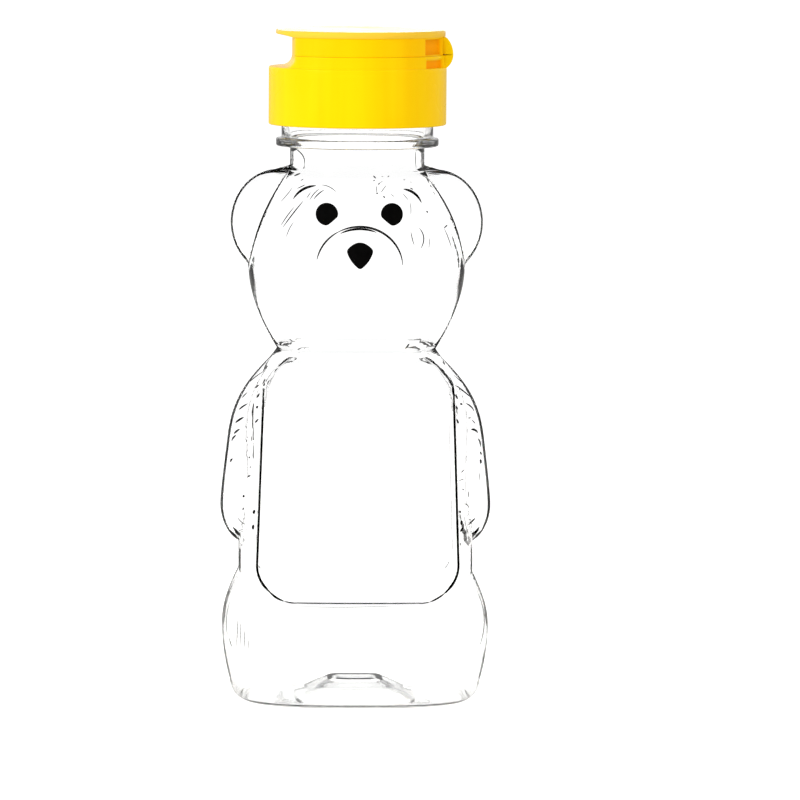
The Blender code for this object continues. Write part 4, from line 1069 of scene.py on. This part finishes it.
def nose_outline():
    """A shield with an arched top, full flanks and rounded corners."""
    z_side = NOSE_HEIGHT / 2 - NOSE_TOP_ARCH
    right = (NOSE_HALF_WIDTH, z_side)
    left = (-NOSE_HALF_WIDTH, z_side)
    tip = (0.0, -NOSE_HEIGHT / 2)
    points = np.concatenate((arch(left, right, NOSE_TOP_ARCH, 24),
                             arch(right, tip, NOSE_FLANK_ARCH, 18),
                             arch(tip, left, NOSE_FLANK_ARCH, 18)))
    for _ in range(3):
        points = 0.5 * points + 0.25 * (np.roll(points, 1, axis=0) + np.roll(points, -1, axis=0))
    return points


def new_tree(name, inputs):
    """A geometry node tree with named inputs, its nodes and its links."""
    tree = bpy.data.node_groups.new(name, "GeometryNodeTree")
    for label, kind, value in inputs:
        socket = tree.interface.new_socket(label, in_out="INPUT", socket_type=kind)
        if value is not None:
            socket.default_value = value
    tree.interface.new_socket("Geometry", in_out="OUTPUT", socket_type="NodeSocketGeometry")
    return tree, tree.nodes, tree.links


def finish_tree(nodes, links, mesh_socket, source):
    """Shade smooth, give the material and realise what the tree has made."""
    smooth = nodes.new("GeometryNodeSetShadeSmooth")
    paint = nodes.new("GeometryNodeSetMaterial")
    real = nodes.new("GeometryNodeRealizeInstances")
    output = nodes.new("NodeGroupOutput")
    links.new(mesh_socket, smooth.inputs["Geometry"])
    links.new(smooth.outputs[0], real.inputs["Geometry"])
    links.new(real.outputs[0], paint.inputs["Geometry"])
    links.new(source.outputs["Material"], paint.inputs["Material"])
    links.new(paint.outputs[0], output.inputs[0])


def swept(nodes, links, curve, radius, sides, scale):
    """A closed ridge of round section along a curve."""
    profile = nodes.new("GeometryNodeCurvePrimitiveCircle")
    sweep = nodes.new("GeometryNodeCurveToMesh")
    feed(links, profile.inputs["Radius"], radius)
    feed(links, profile.inputs["Resolution"], sides)
    sweep.inputs["Fill Caps"].default_value = True
    links.new(curve, sweep.inputs["Curve"])
    links.new(profile.outputs["Curve"], sweep.inputs["Profile Curve"])
    links.new(scale, sweep.inputs["Scale"])
    return sweep.outputs["Mesh"]


def ridge_tree():
    """Tapered half-sunk ridges along every spline of a curve."""
    tree, nodes, links = new_tree("moulded_ridges", (
        ("Geometry", "NodeSocketGeometry", None), ("Ridge Radius", "NodeSocketFloat", 0.0001),
        ("Tip Share", "NodeSocketFloat", 0.2), ("Sides", "NodeSocketInt", 8),
        ("Material", "NodeSocketMaterial", None)))
    source = nodes.new("NodeGroupInput")
    along = nodes.new("GeometryNodeSplineParameter").outputs["Factor"]
    back = math_node(nodes, links, "SUBTRACT", 1.0, along)
    swell = math_node(nodes, links, "MULTIPLY", along, back)
    swell = math_node(nodes, links, "MULTIPLY", swell, 4.0)
    round_end = math_node(nodes, links, "SQRT", swell, 0.0)
    taper = math_node(nodes, links, "MAXIMUM", round_end, source.outputs["Tip Share"])
    weight = nodes.new("GeometryNodeInputRadius").outputs[0]
    radius = math_node(nodes, links, "MULTIPLY", weight, source.outputs["Ridge Radius"])
    ridge = swept(nodes, links, source.outputs["Geometry"], 1.0, source.outputs["Sides"],
                  math_node(nodes, links, "MULTIPLY", radius, taper))
    finish_tree(nodes, links, ridge, source)
    return tree


def thread_tree():
    """A screw thread's ridge, round in section and faded at its ends."""
    tree, nodes, links = new_tree("thread_ridge", (
        ("Thread Radius", "NodeSocketFloat", 0.0175), ("Pitch", "NodeSocketFloat", 0.004),
        ("Turns", "NodeSocketFloat", 1.0), ("Ridge Radius", "NodeSocketFloat", 0.001),
        ("Fade Share", "NodeSocketFloat", 0.06), ("Material", "NodeSocketMaterial", None)))
    source = nodes.new("NodeGroupInput")
    spiral = nodes.new("GeometryNodeCurveSpiral")
    spiral.inputs["Resolution"].default_value = THREAD_STEPS_PER_TURN
    for end in ("Start Radius", "End Radius"):
        links.new(source.outputs["Thread Radius"], spiral.inputs[end])
    links.new(source.outputs["Turns"], spiral.inputs["Rotations"])
    links.new(math_node(nodes, links, "MULTIPLY", source.outputs["Pitch"],
                        source.outputs["Turns"]), spiral.inputs["Height"])
    along = nodes.new("GeometryNodeSplineParameter").outputs["Factor"]
    near = math_node(nodes, links, "MINIMUM", along,
                     math_node(nodes, links, "SUBTRACT", 1.0, along))
    fade = math_node(nodes, links, "DIVIDE", near, source.outputs["Fade Share"])
    fade = math_node(nodes, links, "ADD", fade, THREAD_END_SHARE)
    fade = math_node(nodes, links, "MINIMUM", fade, 1.0)
    ridge = swept(nodes, links, spiral.outputs["Curve"], source.outputs["Ridge Radius"],
                  THREAD_SIDES, fade)
    finish_tree(nodes, links, ridge, source)
    return tree


def grown(name, carrier, tree, values):
    """The plain mesh that a node tree makes on an object, as an object of its own."""
    modifier = carrier.modifiers.new("grow", "NODES")
    modifier.node_group = tree
    for item in tree.interface.items_tree:
        if item.in_out == "INPUT" and item.name in values:
            modifier[item.identifier] = values[item.name]
    bpy.context.scene.collection.objects.link(carrier)
    shaped = carrier.evaluated_get(bpy.context.evaluated_depsgraph_get())
    mesh = bpy.data.meshes.new_from_object(shaped)
    carrier.modifiers.remove(modifier)
    bpy.data.objects.remove(carrier, do_unlink=True)
    mesh.name = name
    face_outwards(mesh)
    piece = bpy.data.objects.new(name, mesh)
    bpy.context.scene.collection.objects.link(piece)
    return piece


def stroke_carrier(name, strokes):
    """A curve with one spline for each stroke of points and a weight."""
    curve = bpy.data.curves.new(name, "CURVE")
    curve.dimensions = "3D"
    for points, weight in strokes:
        spline = curve.splines.new("POLY")
        spline.points.add(len(points) - 1)
        for slot, point in zip(spline.points, points):
            slot.co = (*point, 1.0)
            slot.radius = weight
    return bpy.data.objects.new(name, curve)


def flat_strokes(strokes, steps):
    """Points of each stroke seen from the front, from its ends and bow, and its weight."""
    found = []
    for *millimetres, weight in strokes:
        x_start, z_start, x_end, z_end, bow = (0.001 * size for size in millimetres)
        points = arch((x_start, z_start), (x_end, z_end), bow, steps)
        found.append((np.concatenate((points, ((x_end, z_end),))), weight))
    return found


def muzzle_strokes():
    """The moulded line over the muzzle, doubled where it is boldest."""
    found = []
    for first, last, shrink, weight in MUZZLE_ARCS:
        turns = np.radians(np.linspace(first, last, MUZZLE_STEPS))
        x = (MUZZLE_HALF_WIDTH - shrink) * np.cos(turns)
        z = Z_MUZZLE + (MUZZLE_HALF_HEIGHT - shrink) * np.sin(turns)
        found.append((np.stack((x, z), axis=-1), weight))
    return found


def laid_on(strokes):
    """The strokes laid on the bottle's front, half sunk by their weight."""
    flat = np.concatenate([points for points, _ in strokes])
    sink = np.concatenate([np.full(len(points), -RIDGE_SINK * weight)
                           for points, weight in strokes])
    laid = surface_points(flat[:, 0], flat[:, 1], sink)
    ends = np.cumsum([len(points) for points, _ in strokes])[:-1]
    return [(points, weight)
            for points, (_, weight) in zip(np.split(laid, ends), strokes)]


def noise_field(nodes, links, scale, stretch=(1.0, 1.0, 1.0), detail=2.0):
    """Noise over the piece in its own coordinates, drawn out where stretch is under 1."""
    place = nodes.new("ShaderNodeTexCoord")
    turn = nodes.new("ShaderNodeMapping")
    turn.inputs["Scale"].default_value = stretch
    noise = nodes.new("ShaderNodeTexNoise")
    noise.inputs["Scale"].default_value = scale
    noise.inputs["Detail"].default_value = detail
    links.new(place.outputs["Object"], turn.inputs["Vector"])
    links.new(turn.outputs["Vector"], noise.inputs["Vector"])
    return noise.outputs["Fac"]


def to_range(nodes, links, value, low, high):
    """Noise brought to the range from low to high."""
    fit = nodes.new("ShaderNodeMapRange")
    for label, number in (("From Min", NOISE_RANGE[0]), ("From Max", NOISE_RANGE[1]),
                          ("To Min", low), ("To Max", high)):
        fit.inputs[label].default_value = number
    links.new(value, fit.inputs["Value"])
    return fit.outputs["Result"]


def color_mix(nodes, links, factor, first, second):
    """A colour between two colours, each a tuple or a socket."""
    blend = nodes.new("ShaderNodeMix")
    blend.data_type = "RGBA"
    links.new(factor, blend.inputs["Factor"])
    feed(links, blend.inputs[6], first)
    feed(links, blend.inputs[7], second)
    return blend.outputs[2]


def stored_share(nodes, name):
    """The share that each point of a piece stores under a name."""
    node = nodes.new("ShaderNodeAttribute")
    node.attribute_name = name
    return node.outputs["Fac"]


def shader_mix(nodes, links, factor, first, second):
    """A shader between two shaders."""
    blend = nodes.new("ShaderNodeMixShader")
    for socket, source in zip(blend.inputs, (factor, first, second)):
        links.new(source, socket)
    return blend.outputs[0]


def bumped(nodes, links, shader, height, distance):
    """Give a shader the fine unevenness of a height."""
    bump = nodes.new("ShaderNodeBump")
    bump.inputs["Strength"].default_value = 1.0
    bump.inputs["Distance"].default_value = distance
    links.new(height, bump.inputs["Height"])
    links.new(bump.outputs["Normal"], shader.inputs["Normal"])


def new_material(name):
    """A material, its nodes, its links and its main shader."""
    mat = bpy.data.materials.new(name)
    mat.use_nodes = True
    nodes = mat.node_tree.nodes
    return mat, nodes, mat.node_tree.links, nodes["Principled BSDF"]


def yellow_polypropylene():
    """Moulded yellow plastic: faint upright flow streaks, a satin skin, painted shade in orange
    on the pockets and the walls beside them, and a painted reflection in a paler colour on the rim."""
    mat, nodes, links, shader = new_material("yellow_polypropylene")
    streaks = noise_field(nodes, links, scale=260.0, stretch=(1.0, 1.0, 0.06))
    clouds = noise_field(nodes, links, scale=60.0)
    pocket = stored_share(nodes, "pocket")
    tone = color_mix(nodes, links, to_range(nodes, links, streaks, 0.0, 1.0), YELLOW,
                     YELLOW_STREAK)
    tone = color_mix(nodes, links, to_range(nodes, links, clouds, 0.0, 0.5), tone, YELLOW_CLOUD)
    # Painted shade from the stored pocket share, in the recesses and on the walls beside them
    tone = color_mix(nodes, links, pocket, tone, POCKET_SHADE_ORANGE)
    # Painted reflection on the rim, from the stored share
    tone = color_mix(nodes, links, stored_share(nodes, "rim_reflection"), tone, RIM_REFLECTION_YELLOW)
    links.new(tone, shader.inputs["Base Color"])
    satin = to_range(nodes, links, clouds, 0.24, 0.34)
    dull = math_node(nodes, links, "MULTIPLY", pocket, 0.4)
    links.new(math_node(nodes, links, "ADD", satin, dull), shader.inputs["Roughness"])
    shader.inputs["Specular Tint"].default_value = (*YELLOW_GLEAM, 1.0)
    shader.inputs["IOR"].default_value = 1.3
    shader.inputs["Specular IOR Level"].default_value = 0.25
    bumped(nodes, links, shader, noise_field(nodes, links, scale=1400.0), distance=0.000012)
    return mat


def black_ink():
    """Printed ink, matt and slightly uneven where it was pressed on."""
    mat, nodes, links, shader = new_material("black_ink")
    grain = noise_field(nodes, links, scale=900.0)
    links.new(color_mix(nodes, links, grain, INK_BLACK, INK_GREY), shader.inputs["Base Color"])
    links.new(to_range(nodes, links, grain, 0.45, 0.6), shader.inputs["Roughness"])
    shader.inputs["Specular IOR Level"].default_value = 0.0
    bumped(nodes, links, shader, grain, distance=0.00001)
    return mat


def liner_foam():
    """White closed-cell foam."""
    mat, nodes, links, shader = new_material("liner_foam")
    cells = noise_field(nodes, links, scale=3000.0, detail=4.0)
    links.new(color_mix(nodes, links, cells, FOAM_CELL, FOAM_WHITE),
              shader.inputs["Base Color"])
    shader.inputs["Roughness"].default_value = 0.8
    bumped(nodes, links, shader, cells, distance=0.00005)
    return mat


def clear_pet():
    """Clear blown plastic. A wall seen edge on turns dark by the share that its points
    store, because there it only bends the light and mirrors none."""
    mat, nodes, links, shader = new_material("clear_pet")
    waves = noise_field(nodes, links, scale=110.0)
    links.new(color_mix(nodes, links, waves, PET_TINT, WHITE), shader.inputs["Base Color"])
    shader.inputs["Transmission Weight"].default_value = 1.0
    shader.inputs["Roughness"].default_value = 0.0
    shader.inputs["IOR"].default_value = PET_IOR
    shader.inputs["Specular Tint"].default_value = (*PET_GLEAM, 1.0)
    bumped(nodes, links, shader, waves, distance=0.00001)
    bend = nodes.new("ShaderNodeBsdfRefraction")
    bend.inputs["Color"].default_value = (*WHITE, 1.0)
    bend.inputs["Roughness"].default_value = 0.0
    bend.inputs["IOR"].default_value = PET_IOR
    dark_edge = math_node(nodes, links, "MULTIPLY", stored_share(nodes, "thin_wall"),
                          EDGE_DARKNESS)
    wall = shader_mix(nodes, links, dark_edge, shader.outputs[0], bend.outputs[0])
    path = nodes.new("ShaderNodeLightPath")
    shadow = nodes.new("ShaderNodeBsdfTransparent")
    shadow.inputs["Color"].default_value = (*PET_SHADOW, 1.0)
    links.new(shader_mix(nodes, links, path.outputs["Is Shadow Ray"], wall, shadow.outputs[0]),
              nodes["Material Output"].inputs["Surface"])
    return mat


def pet_relief():
    """The moulded lines of the same plastic, painted near black: painted shade for the dark look
    they take against a bright studio.
    """
    mat, nodes, links, shader = new_material("dark_painted_relief")
    grain = noise_field(nodes, links, scale=700.0)
    # Painted shade in place of the darkness of light bent by the ridges
    links.new(color_mix(nodes, links, grain, RELIEF_SHADE_DARK, RELIEF_SHADE_GREY),
              shader.inputs["Base Color"])
    shader.inputs["Transmission Weight"].default_value = 1.0
    shader.inputs["Roughness"].default_value = 0.1
    shader.inputs["IOR"].default_value = 1.05
    shader.inputs["Specular IOR Level"].default_value = 0.0
    return mat


def kept_light(nodes, links, path):
    """1 for light that only passed through walls, less for each reflection on its way."""
    return math_node(nodes, links, "POWER", TRAPPED_LIGHT, path.outputs["Glossy Depth"])


def build_world():
    """White to the camera and through clear walls, dimmer in reflections and as a lamp."""
    world = bpy.data.worlds.new("studio")
    bpy.context.scene.world = world
    world.use_nodes = True
    nodes = world.node_tree.nodes
    links = world.node_tree.links
    nodes.clear()
    path = nodes.new("ShaderNodeLightPath")
    background = nodes.new("ShaderNodeBackground")
    background.inputs["Color"].default_value = (*WHITE, 1.0)
    shaded = math_node(nodes, links, "MULTIPLY", path.outputs["Is Diffuse Ray"],
                       1.0 - STUDIO_LIGHT)
    level = math_node(nodes, links, "SUBTRACT", kept_light(nodes, links, path), shaded)
    links.new(level, background.inputs["Strength"])
    output = nodes.new("ShaderNodeOutputWorld")
    links.new(background.outputs[0], output.inputs["Surface"])


def build_floor():
    """A white disc that keeps a soft shadow and looks as dim as the studio in reflections."""
    bpy.ops.mesh.primitive_circle_add(vertices=96, radius=FLOOR_RADIUS, fill_type="NGON")
    floor = bpy.context.object
    floor.name = "floor"
    mat, nodes, links, shader = new_material("floor_white")
    shader.inputs["Roughness"].default_value = 0.9
    shader.inputs["Specular IOR Level"].default_value = 0.0
    path = nodes.new("ShaderNodeLightPath")
    kept = kept_light(nodes, links, path)
    paint = nodes.new("ShaderNodeCombineColor")
    level = math_node(nodes, links, "MULTIPLY", kept, FLOOR_PAINT)
    for channel in paint.inputs:
        links.new(level, channel)
    links.new(paint.outputs[0], shader.inputs["Base Color"])
    seen = math_node(nodes, links, "MAXIMUM", path.outputs["Is Camera Ray"],
                     path.outputs["Is Transmission Ray"])
    glow = math_node(nodes, links, "MULTIPLY", seen, kept)
    shader.inputs["Emission Color"].default_value = (*WHITE, 1.0)
    links.new(math_node(nodes, links, "MULTIPLY", glow, FLOOR_GLOW),
              shader.inputs["Emission Strength"])
    floor.data.materials.append(mat)


def add_lamp(name, place, aim, size, watts, color=WHITE):
    """A round lamp that shines from its place to its aim."""
    data = bpy.data.lights.new(name, "AREA")
    data.shape = "DISK"
    data.size = size
    data.energy = watts
    data.color = color
    lamp = bpy.data.objects.new(name, data)
    lamp.location = place
    lamp.rotation_euler = (Vector(aim) - Vector(place)).to_track_quat("-Z", "Y").to_euler()
    bpy.context.scene.collection.objects.link(lamp)
    return lamp


def build_camera():
    """A camera with a long lens, turned, tilted down and rolled a little as the photo's."""
    data = bpy.data.cameras.new("camera")
    data.lens = LENS
    data.sensor_width = SENSOR
    data.clip_start = 0.1
    data.clip_end = 20.0
    camera = bpy.data.objects.new("camera", data)
    bpy.context.scene.collection.objects.link(camera)
    back = Vector((math.sin(CAMERA_AZIMUTH), -math.cos(CAMERA_AZIMUTH), 0.0))
    right = Vector((math.cos(CAMERA_AZIMUTH), math.sin(CAMERA_AZIMUTH), 0.0))
    place = back * CAMERA_DISTANCE + Vector((0.0, 0.0, CAMERA_HEIGHT))
    ahead = right * CAMERA_AIM_RIGHT - back * CAMERA_DISTANCE
    yaw = math.atan2(-ahead.x, ahead.y)
    turn = Matrix.Rotation(yaw, 4, "Z") @ Matrix.Rotation(0.5 * math.pi + CAMERA_PITCH, 4, "X")
    turn = turn @ Matrix.Rotation(CAMERA_ROLL, 4, "Z")
    camera.matrix_world = Matrix.Translation(place) @ turn
    bpy.context.scene.camera = camera


def dress(piece, body, slot, mat, *nodes):
    """Give a piece its body and material, and hide the nodes it stands for. The slot is not used.
    """
    if mat:
        piece.data.materials.append(mat)
    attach(piece, body)
    if nodes:
        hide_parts(*nodes)


def point_places(piece):
    """Side, depth and height of every point of a piece."""
    places = np.empty(len(piece.data.vertices) * 3)
    piece.data.vertices.foreach_get("co", places)
    return places.reshape(-1, 3).T


def store_share(piece, name, share):
    """Store a share for every point of a piece, which its material reads."""
    layer = piece.data.attributes.new(name, "FLOAT", "POINT")
    layer.data.foreach_set("value", share.astype(np.float32))


def paint_pocket_shade(piece, outer, shade):
    """Store how deep in a pocket each point of a cap piece lies, for the painted shade in its
    colour. The wall around the pockets takes a share of that painted shade."""
    x, y, z = point_places(piece)
    reach = np.hypot(x, y)
    depth = ramp(outer - reach, 2 * PAINT_GAP, POCKET_DEPTH - PAINT_GAP)
    outside = (reach > outer - POCKET_DEPTH - PAINT_GAP) & (z > Z_DECK_TOP)
    deep = depth * pocket_share(np.arctan2(y, x)) * outside
    # Painted shade on the wall beside the pockets
    beside = shade * (outside & (z < Z_WALL_SHADE_TOP))
    store_share(piece, "pocket", np.maximum(deep, beside))


def paint_rim_reflection(piece):
    """Store the band at the edge of the lid's plate that takes the painted reflection, a paler
    colour.
    """
    x, y, z = point_places(piece)
    reach = np.hypot(x, y)
    flat = LIP_OUT * reach / np.maximum(-x, NEARLY_ZERO)
    edge = ramp(reach - smooth_min(PLATE_RADIUS, flat, THUMB_CORNER), *RIM_REFLECTION_BAND)
    z_rim = Z_PLATE_TOP - RIM_HEIGHT
    store_share(piece, "rim_reflection", edge * ramp(z, z_rim - PAINT_GAP, z_rim))


def mark_walls(piece):
    """Store how dark the bottle's wall turns edge on: less where it is thick or soft."""
    x, y, z = point_places(piece)
    side = np.abs(x)
    share = 1.0
    for start, end, past in EDGE_SHARES:
        share = mix(share, past, ramp(z, start, end))
    fold = hump(z, *FOLD_PLACE) * ramp(side, *FOLD_FADE)
    cheek = hump(z, *CHEEK_PLACE) * ramp(side, *CHEEK_FADE)
    paw = hump(z, *PAW_PLACE) * ramp(side, *PAW_FADE_IN) * ramp(side, *PAW_FADE_OUT)
    panel = hump(side, panel_half_width(z), PANEL_SOFT_HALF_WIDTH) * (y < 0.0)
    panel = panel * ramp(z, *PANEL_SOFT_LOW) * ramp(z, *PANEL_SOFT_HIGH)
    for softness, place in ((FOLD_SOFTNESS, fold), (CHEEK_SOFTNESS, cheek),
                            (PAW_SOFTNESS, paw), (PANEL_SOFTNESS, panel)):
        share = share * (1.0 - softness * place)
    store_share(piece, "thin_wall", share)


def build_bottle(pet):
    """The bottle's one shell."""
    shell = skin("bottle_shell", bottle_rings())
    mark_walls(shell)
    dress(shell, "bottle", "clear_pet", pet, "bottle")


def build_cap(yellow):
    """The cap base, a closed loop of rings."""
    shell = skin("cap_base_shell", cap_base_rings(), "loop")
    paint_pocket_shade(shell, RING_RADIUS, RING_SHADE)
    dress(shell, "cap", "yellow_polypropylene", yellow, "cap_base")


def build_lid(yellow, lamp):
    """The lid, which alone takes the light of the lamp behind it."""
    shell = skin("lid_shell", lid_rings())
    lid_only = bpy.data.collections.new("lid_only")
    lid_only.objects.link(shell)
    lamp.light_linking.receiver_collection = lid_only
    paint_pocket_shade(shell, LID_RADIUS, LID_SHADE)
    paint_rim_reflection(shell)
    dress(shell, "lid", "yellow_polypropylene", yellow, "lid")


def build_strap(yellow):
    """The living hinge, bent between the cap and the lid."""
    strap = skin("hinge_strap", strap_rings())
    strap.data.materials.append(yellow)
    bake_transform(strap)
    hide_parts("hinge_leaf_lower", "hinge_leaf_upper")


def build_print(ink):
    """The printed eyes and nose."""
    left_flat = -math.pi - EYE_FLAT_TURN
    ink_patch("left_eye_print", "left_eye", (EYE_OUT, Z_EYE), eye_outline(left_flat), ink)
    ink_patch("right_eye_print", "right_eye", (-EYE_OUT, Z_EYE), eye_outline(EYE_FLAT_TURN), ink)
    ink_patch("nose_print", "nose", (0.0, Z_NOSE), nose_outline(), ink)


def build_lines(relief):
    """The moulded fur and lines, one piece for each group of strokes."""
    tree = ridge_tree()
    groups = (("face_fur", flat_strokes(FACE_STROKES, 9), RIDGE_RADIUS),
              ("muzzle_ridge", muzzle_strokes(), RIDGE_RADIUS),
              ("arm_fur", flat_strokes(ARM_STROKES, 5), ARM_RIDGE_RADIUS),
              ("seat_lines", flat_strokes(SEAT_STROKES, 9), RIDGE_RADIUS),
              ("panel_lines", flat_strokes(PANEL_STROKES, 9), RIDGE_RADIUS),
              ("neck_lines", flat_strokes(NECK_STROKES, 9), RIDGE_RADIUS))
    for name, strokes, radius in groups:
        carrier = stroke_carrier(name + "_strokes", laid_on(strokes))
        lines = grown(name, carrier, tree,
                      {"Ridge Radius": radius, "Tip Share": RIDGE_TIP_SHARE,
                       "Sides": RIDGE_SIDES, "Material": relief})
        dress(lines, "bottle", "clear_pet", None)


def build_threads(pet, yellow):
    """The threads of the finish and of the skirt, which mesh."""
    tree = thread_tree()
    outer = FINISH_RADIUS + THREAD_CREST - THREAD_RIDGE
    inner = SKIRT_RADIUS - SKIRT_WALL - THREAD_CREST + CAP_THREAD_RIDGE
    for name, body, slot, mat, radius, ridge, z_low in (
            ("bottle_thread", "bottle", "clear_pet", pet, outer, THREAD_RIDGE, Z_THREAD_LOW),
            ("cap_thread", "cap", "yellow_polypropylene", yellow, inner, CAP_THREAD_RIDGE,
             Z_CAP_THREAD_LOW)):
        seed = bpy.data.objects.new(name + "_seed", bpy.data.meshes.new(name + "_seed"))
        thread = grown(name, seed, tree,
                       {"Thread Radius": radius, "Pitch": THREAD_PITCH, "Turns": THREAD_TURNS,
                        "Ridge Radius": ridge, "Fade Share": THREAD_FADE_SHARE,
                        "Material": mat})
        thread.data.transform(Matrix.Translation((0.0, 0.0, z_low)))
        dress(thread, body, slot, None)


def paint_liner(foam):
    """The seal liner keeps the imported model's own mesh."""
    liner = frame["nodes"]["seal_liner"].data
    liner.materials.clear()
    liner.materials.append(foam)


bpy.context.scene.view_settings.view_transform = "Standard"
build_camera()
build_world()
build_floor()
add_lamp("key", place=(-1.3, -0.9, 0.6), aim=(0.0, 0.0, 0.1), size=0.7, watts=16.0)
add_lamp("fill", place=(1.2, -1.0, 0.5), aim=(0.0, 0.0, 0.1), size=0.9, watts=7.0,
         color=LAMP_AMBER)
back_lamp = add_lamp("back", place=(0.1, 1.5, 0.30), aim=(0.0, 0.0, 0.15), size=0.4,
                     watts=1.1)
back_lamp.visible_camera = False
back_lamp.visible_transmission = False

pet = clear_pet()
yellow = yellow_polypropylene()
build_bottle(pet)
build_cap(yellow)
build_lid(yellow, back_lamp)
build_strap(yellow)
build_print(black_ink())
build_lines(pet_relief())
build_threads(pet, yellow)
paint_liner(liner_foam())
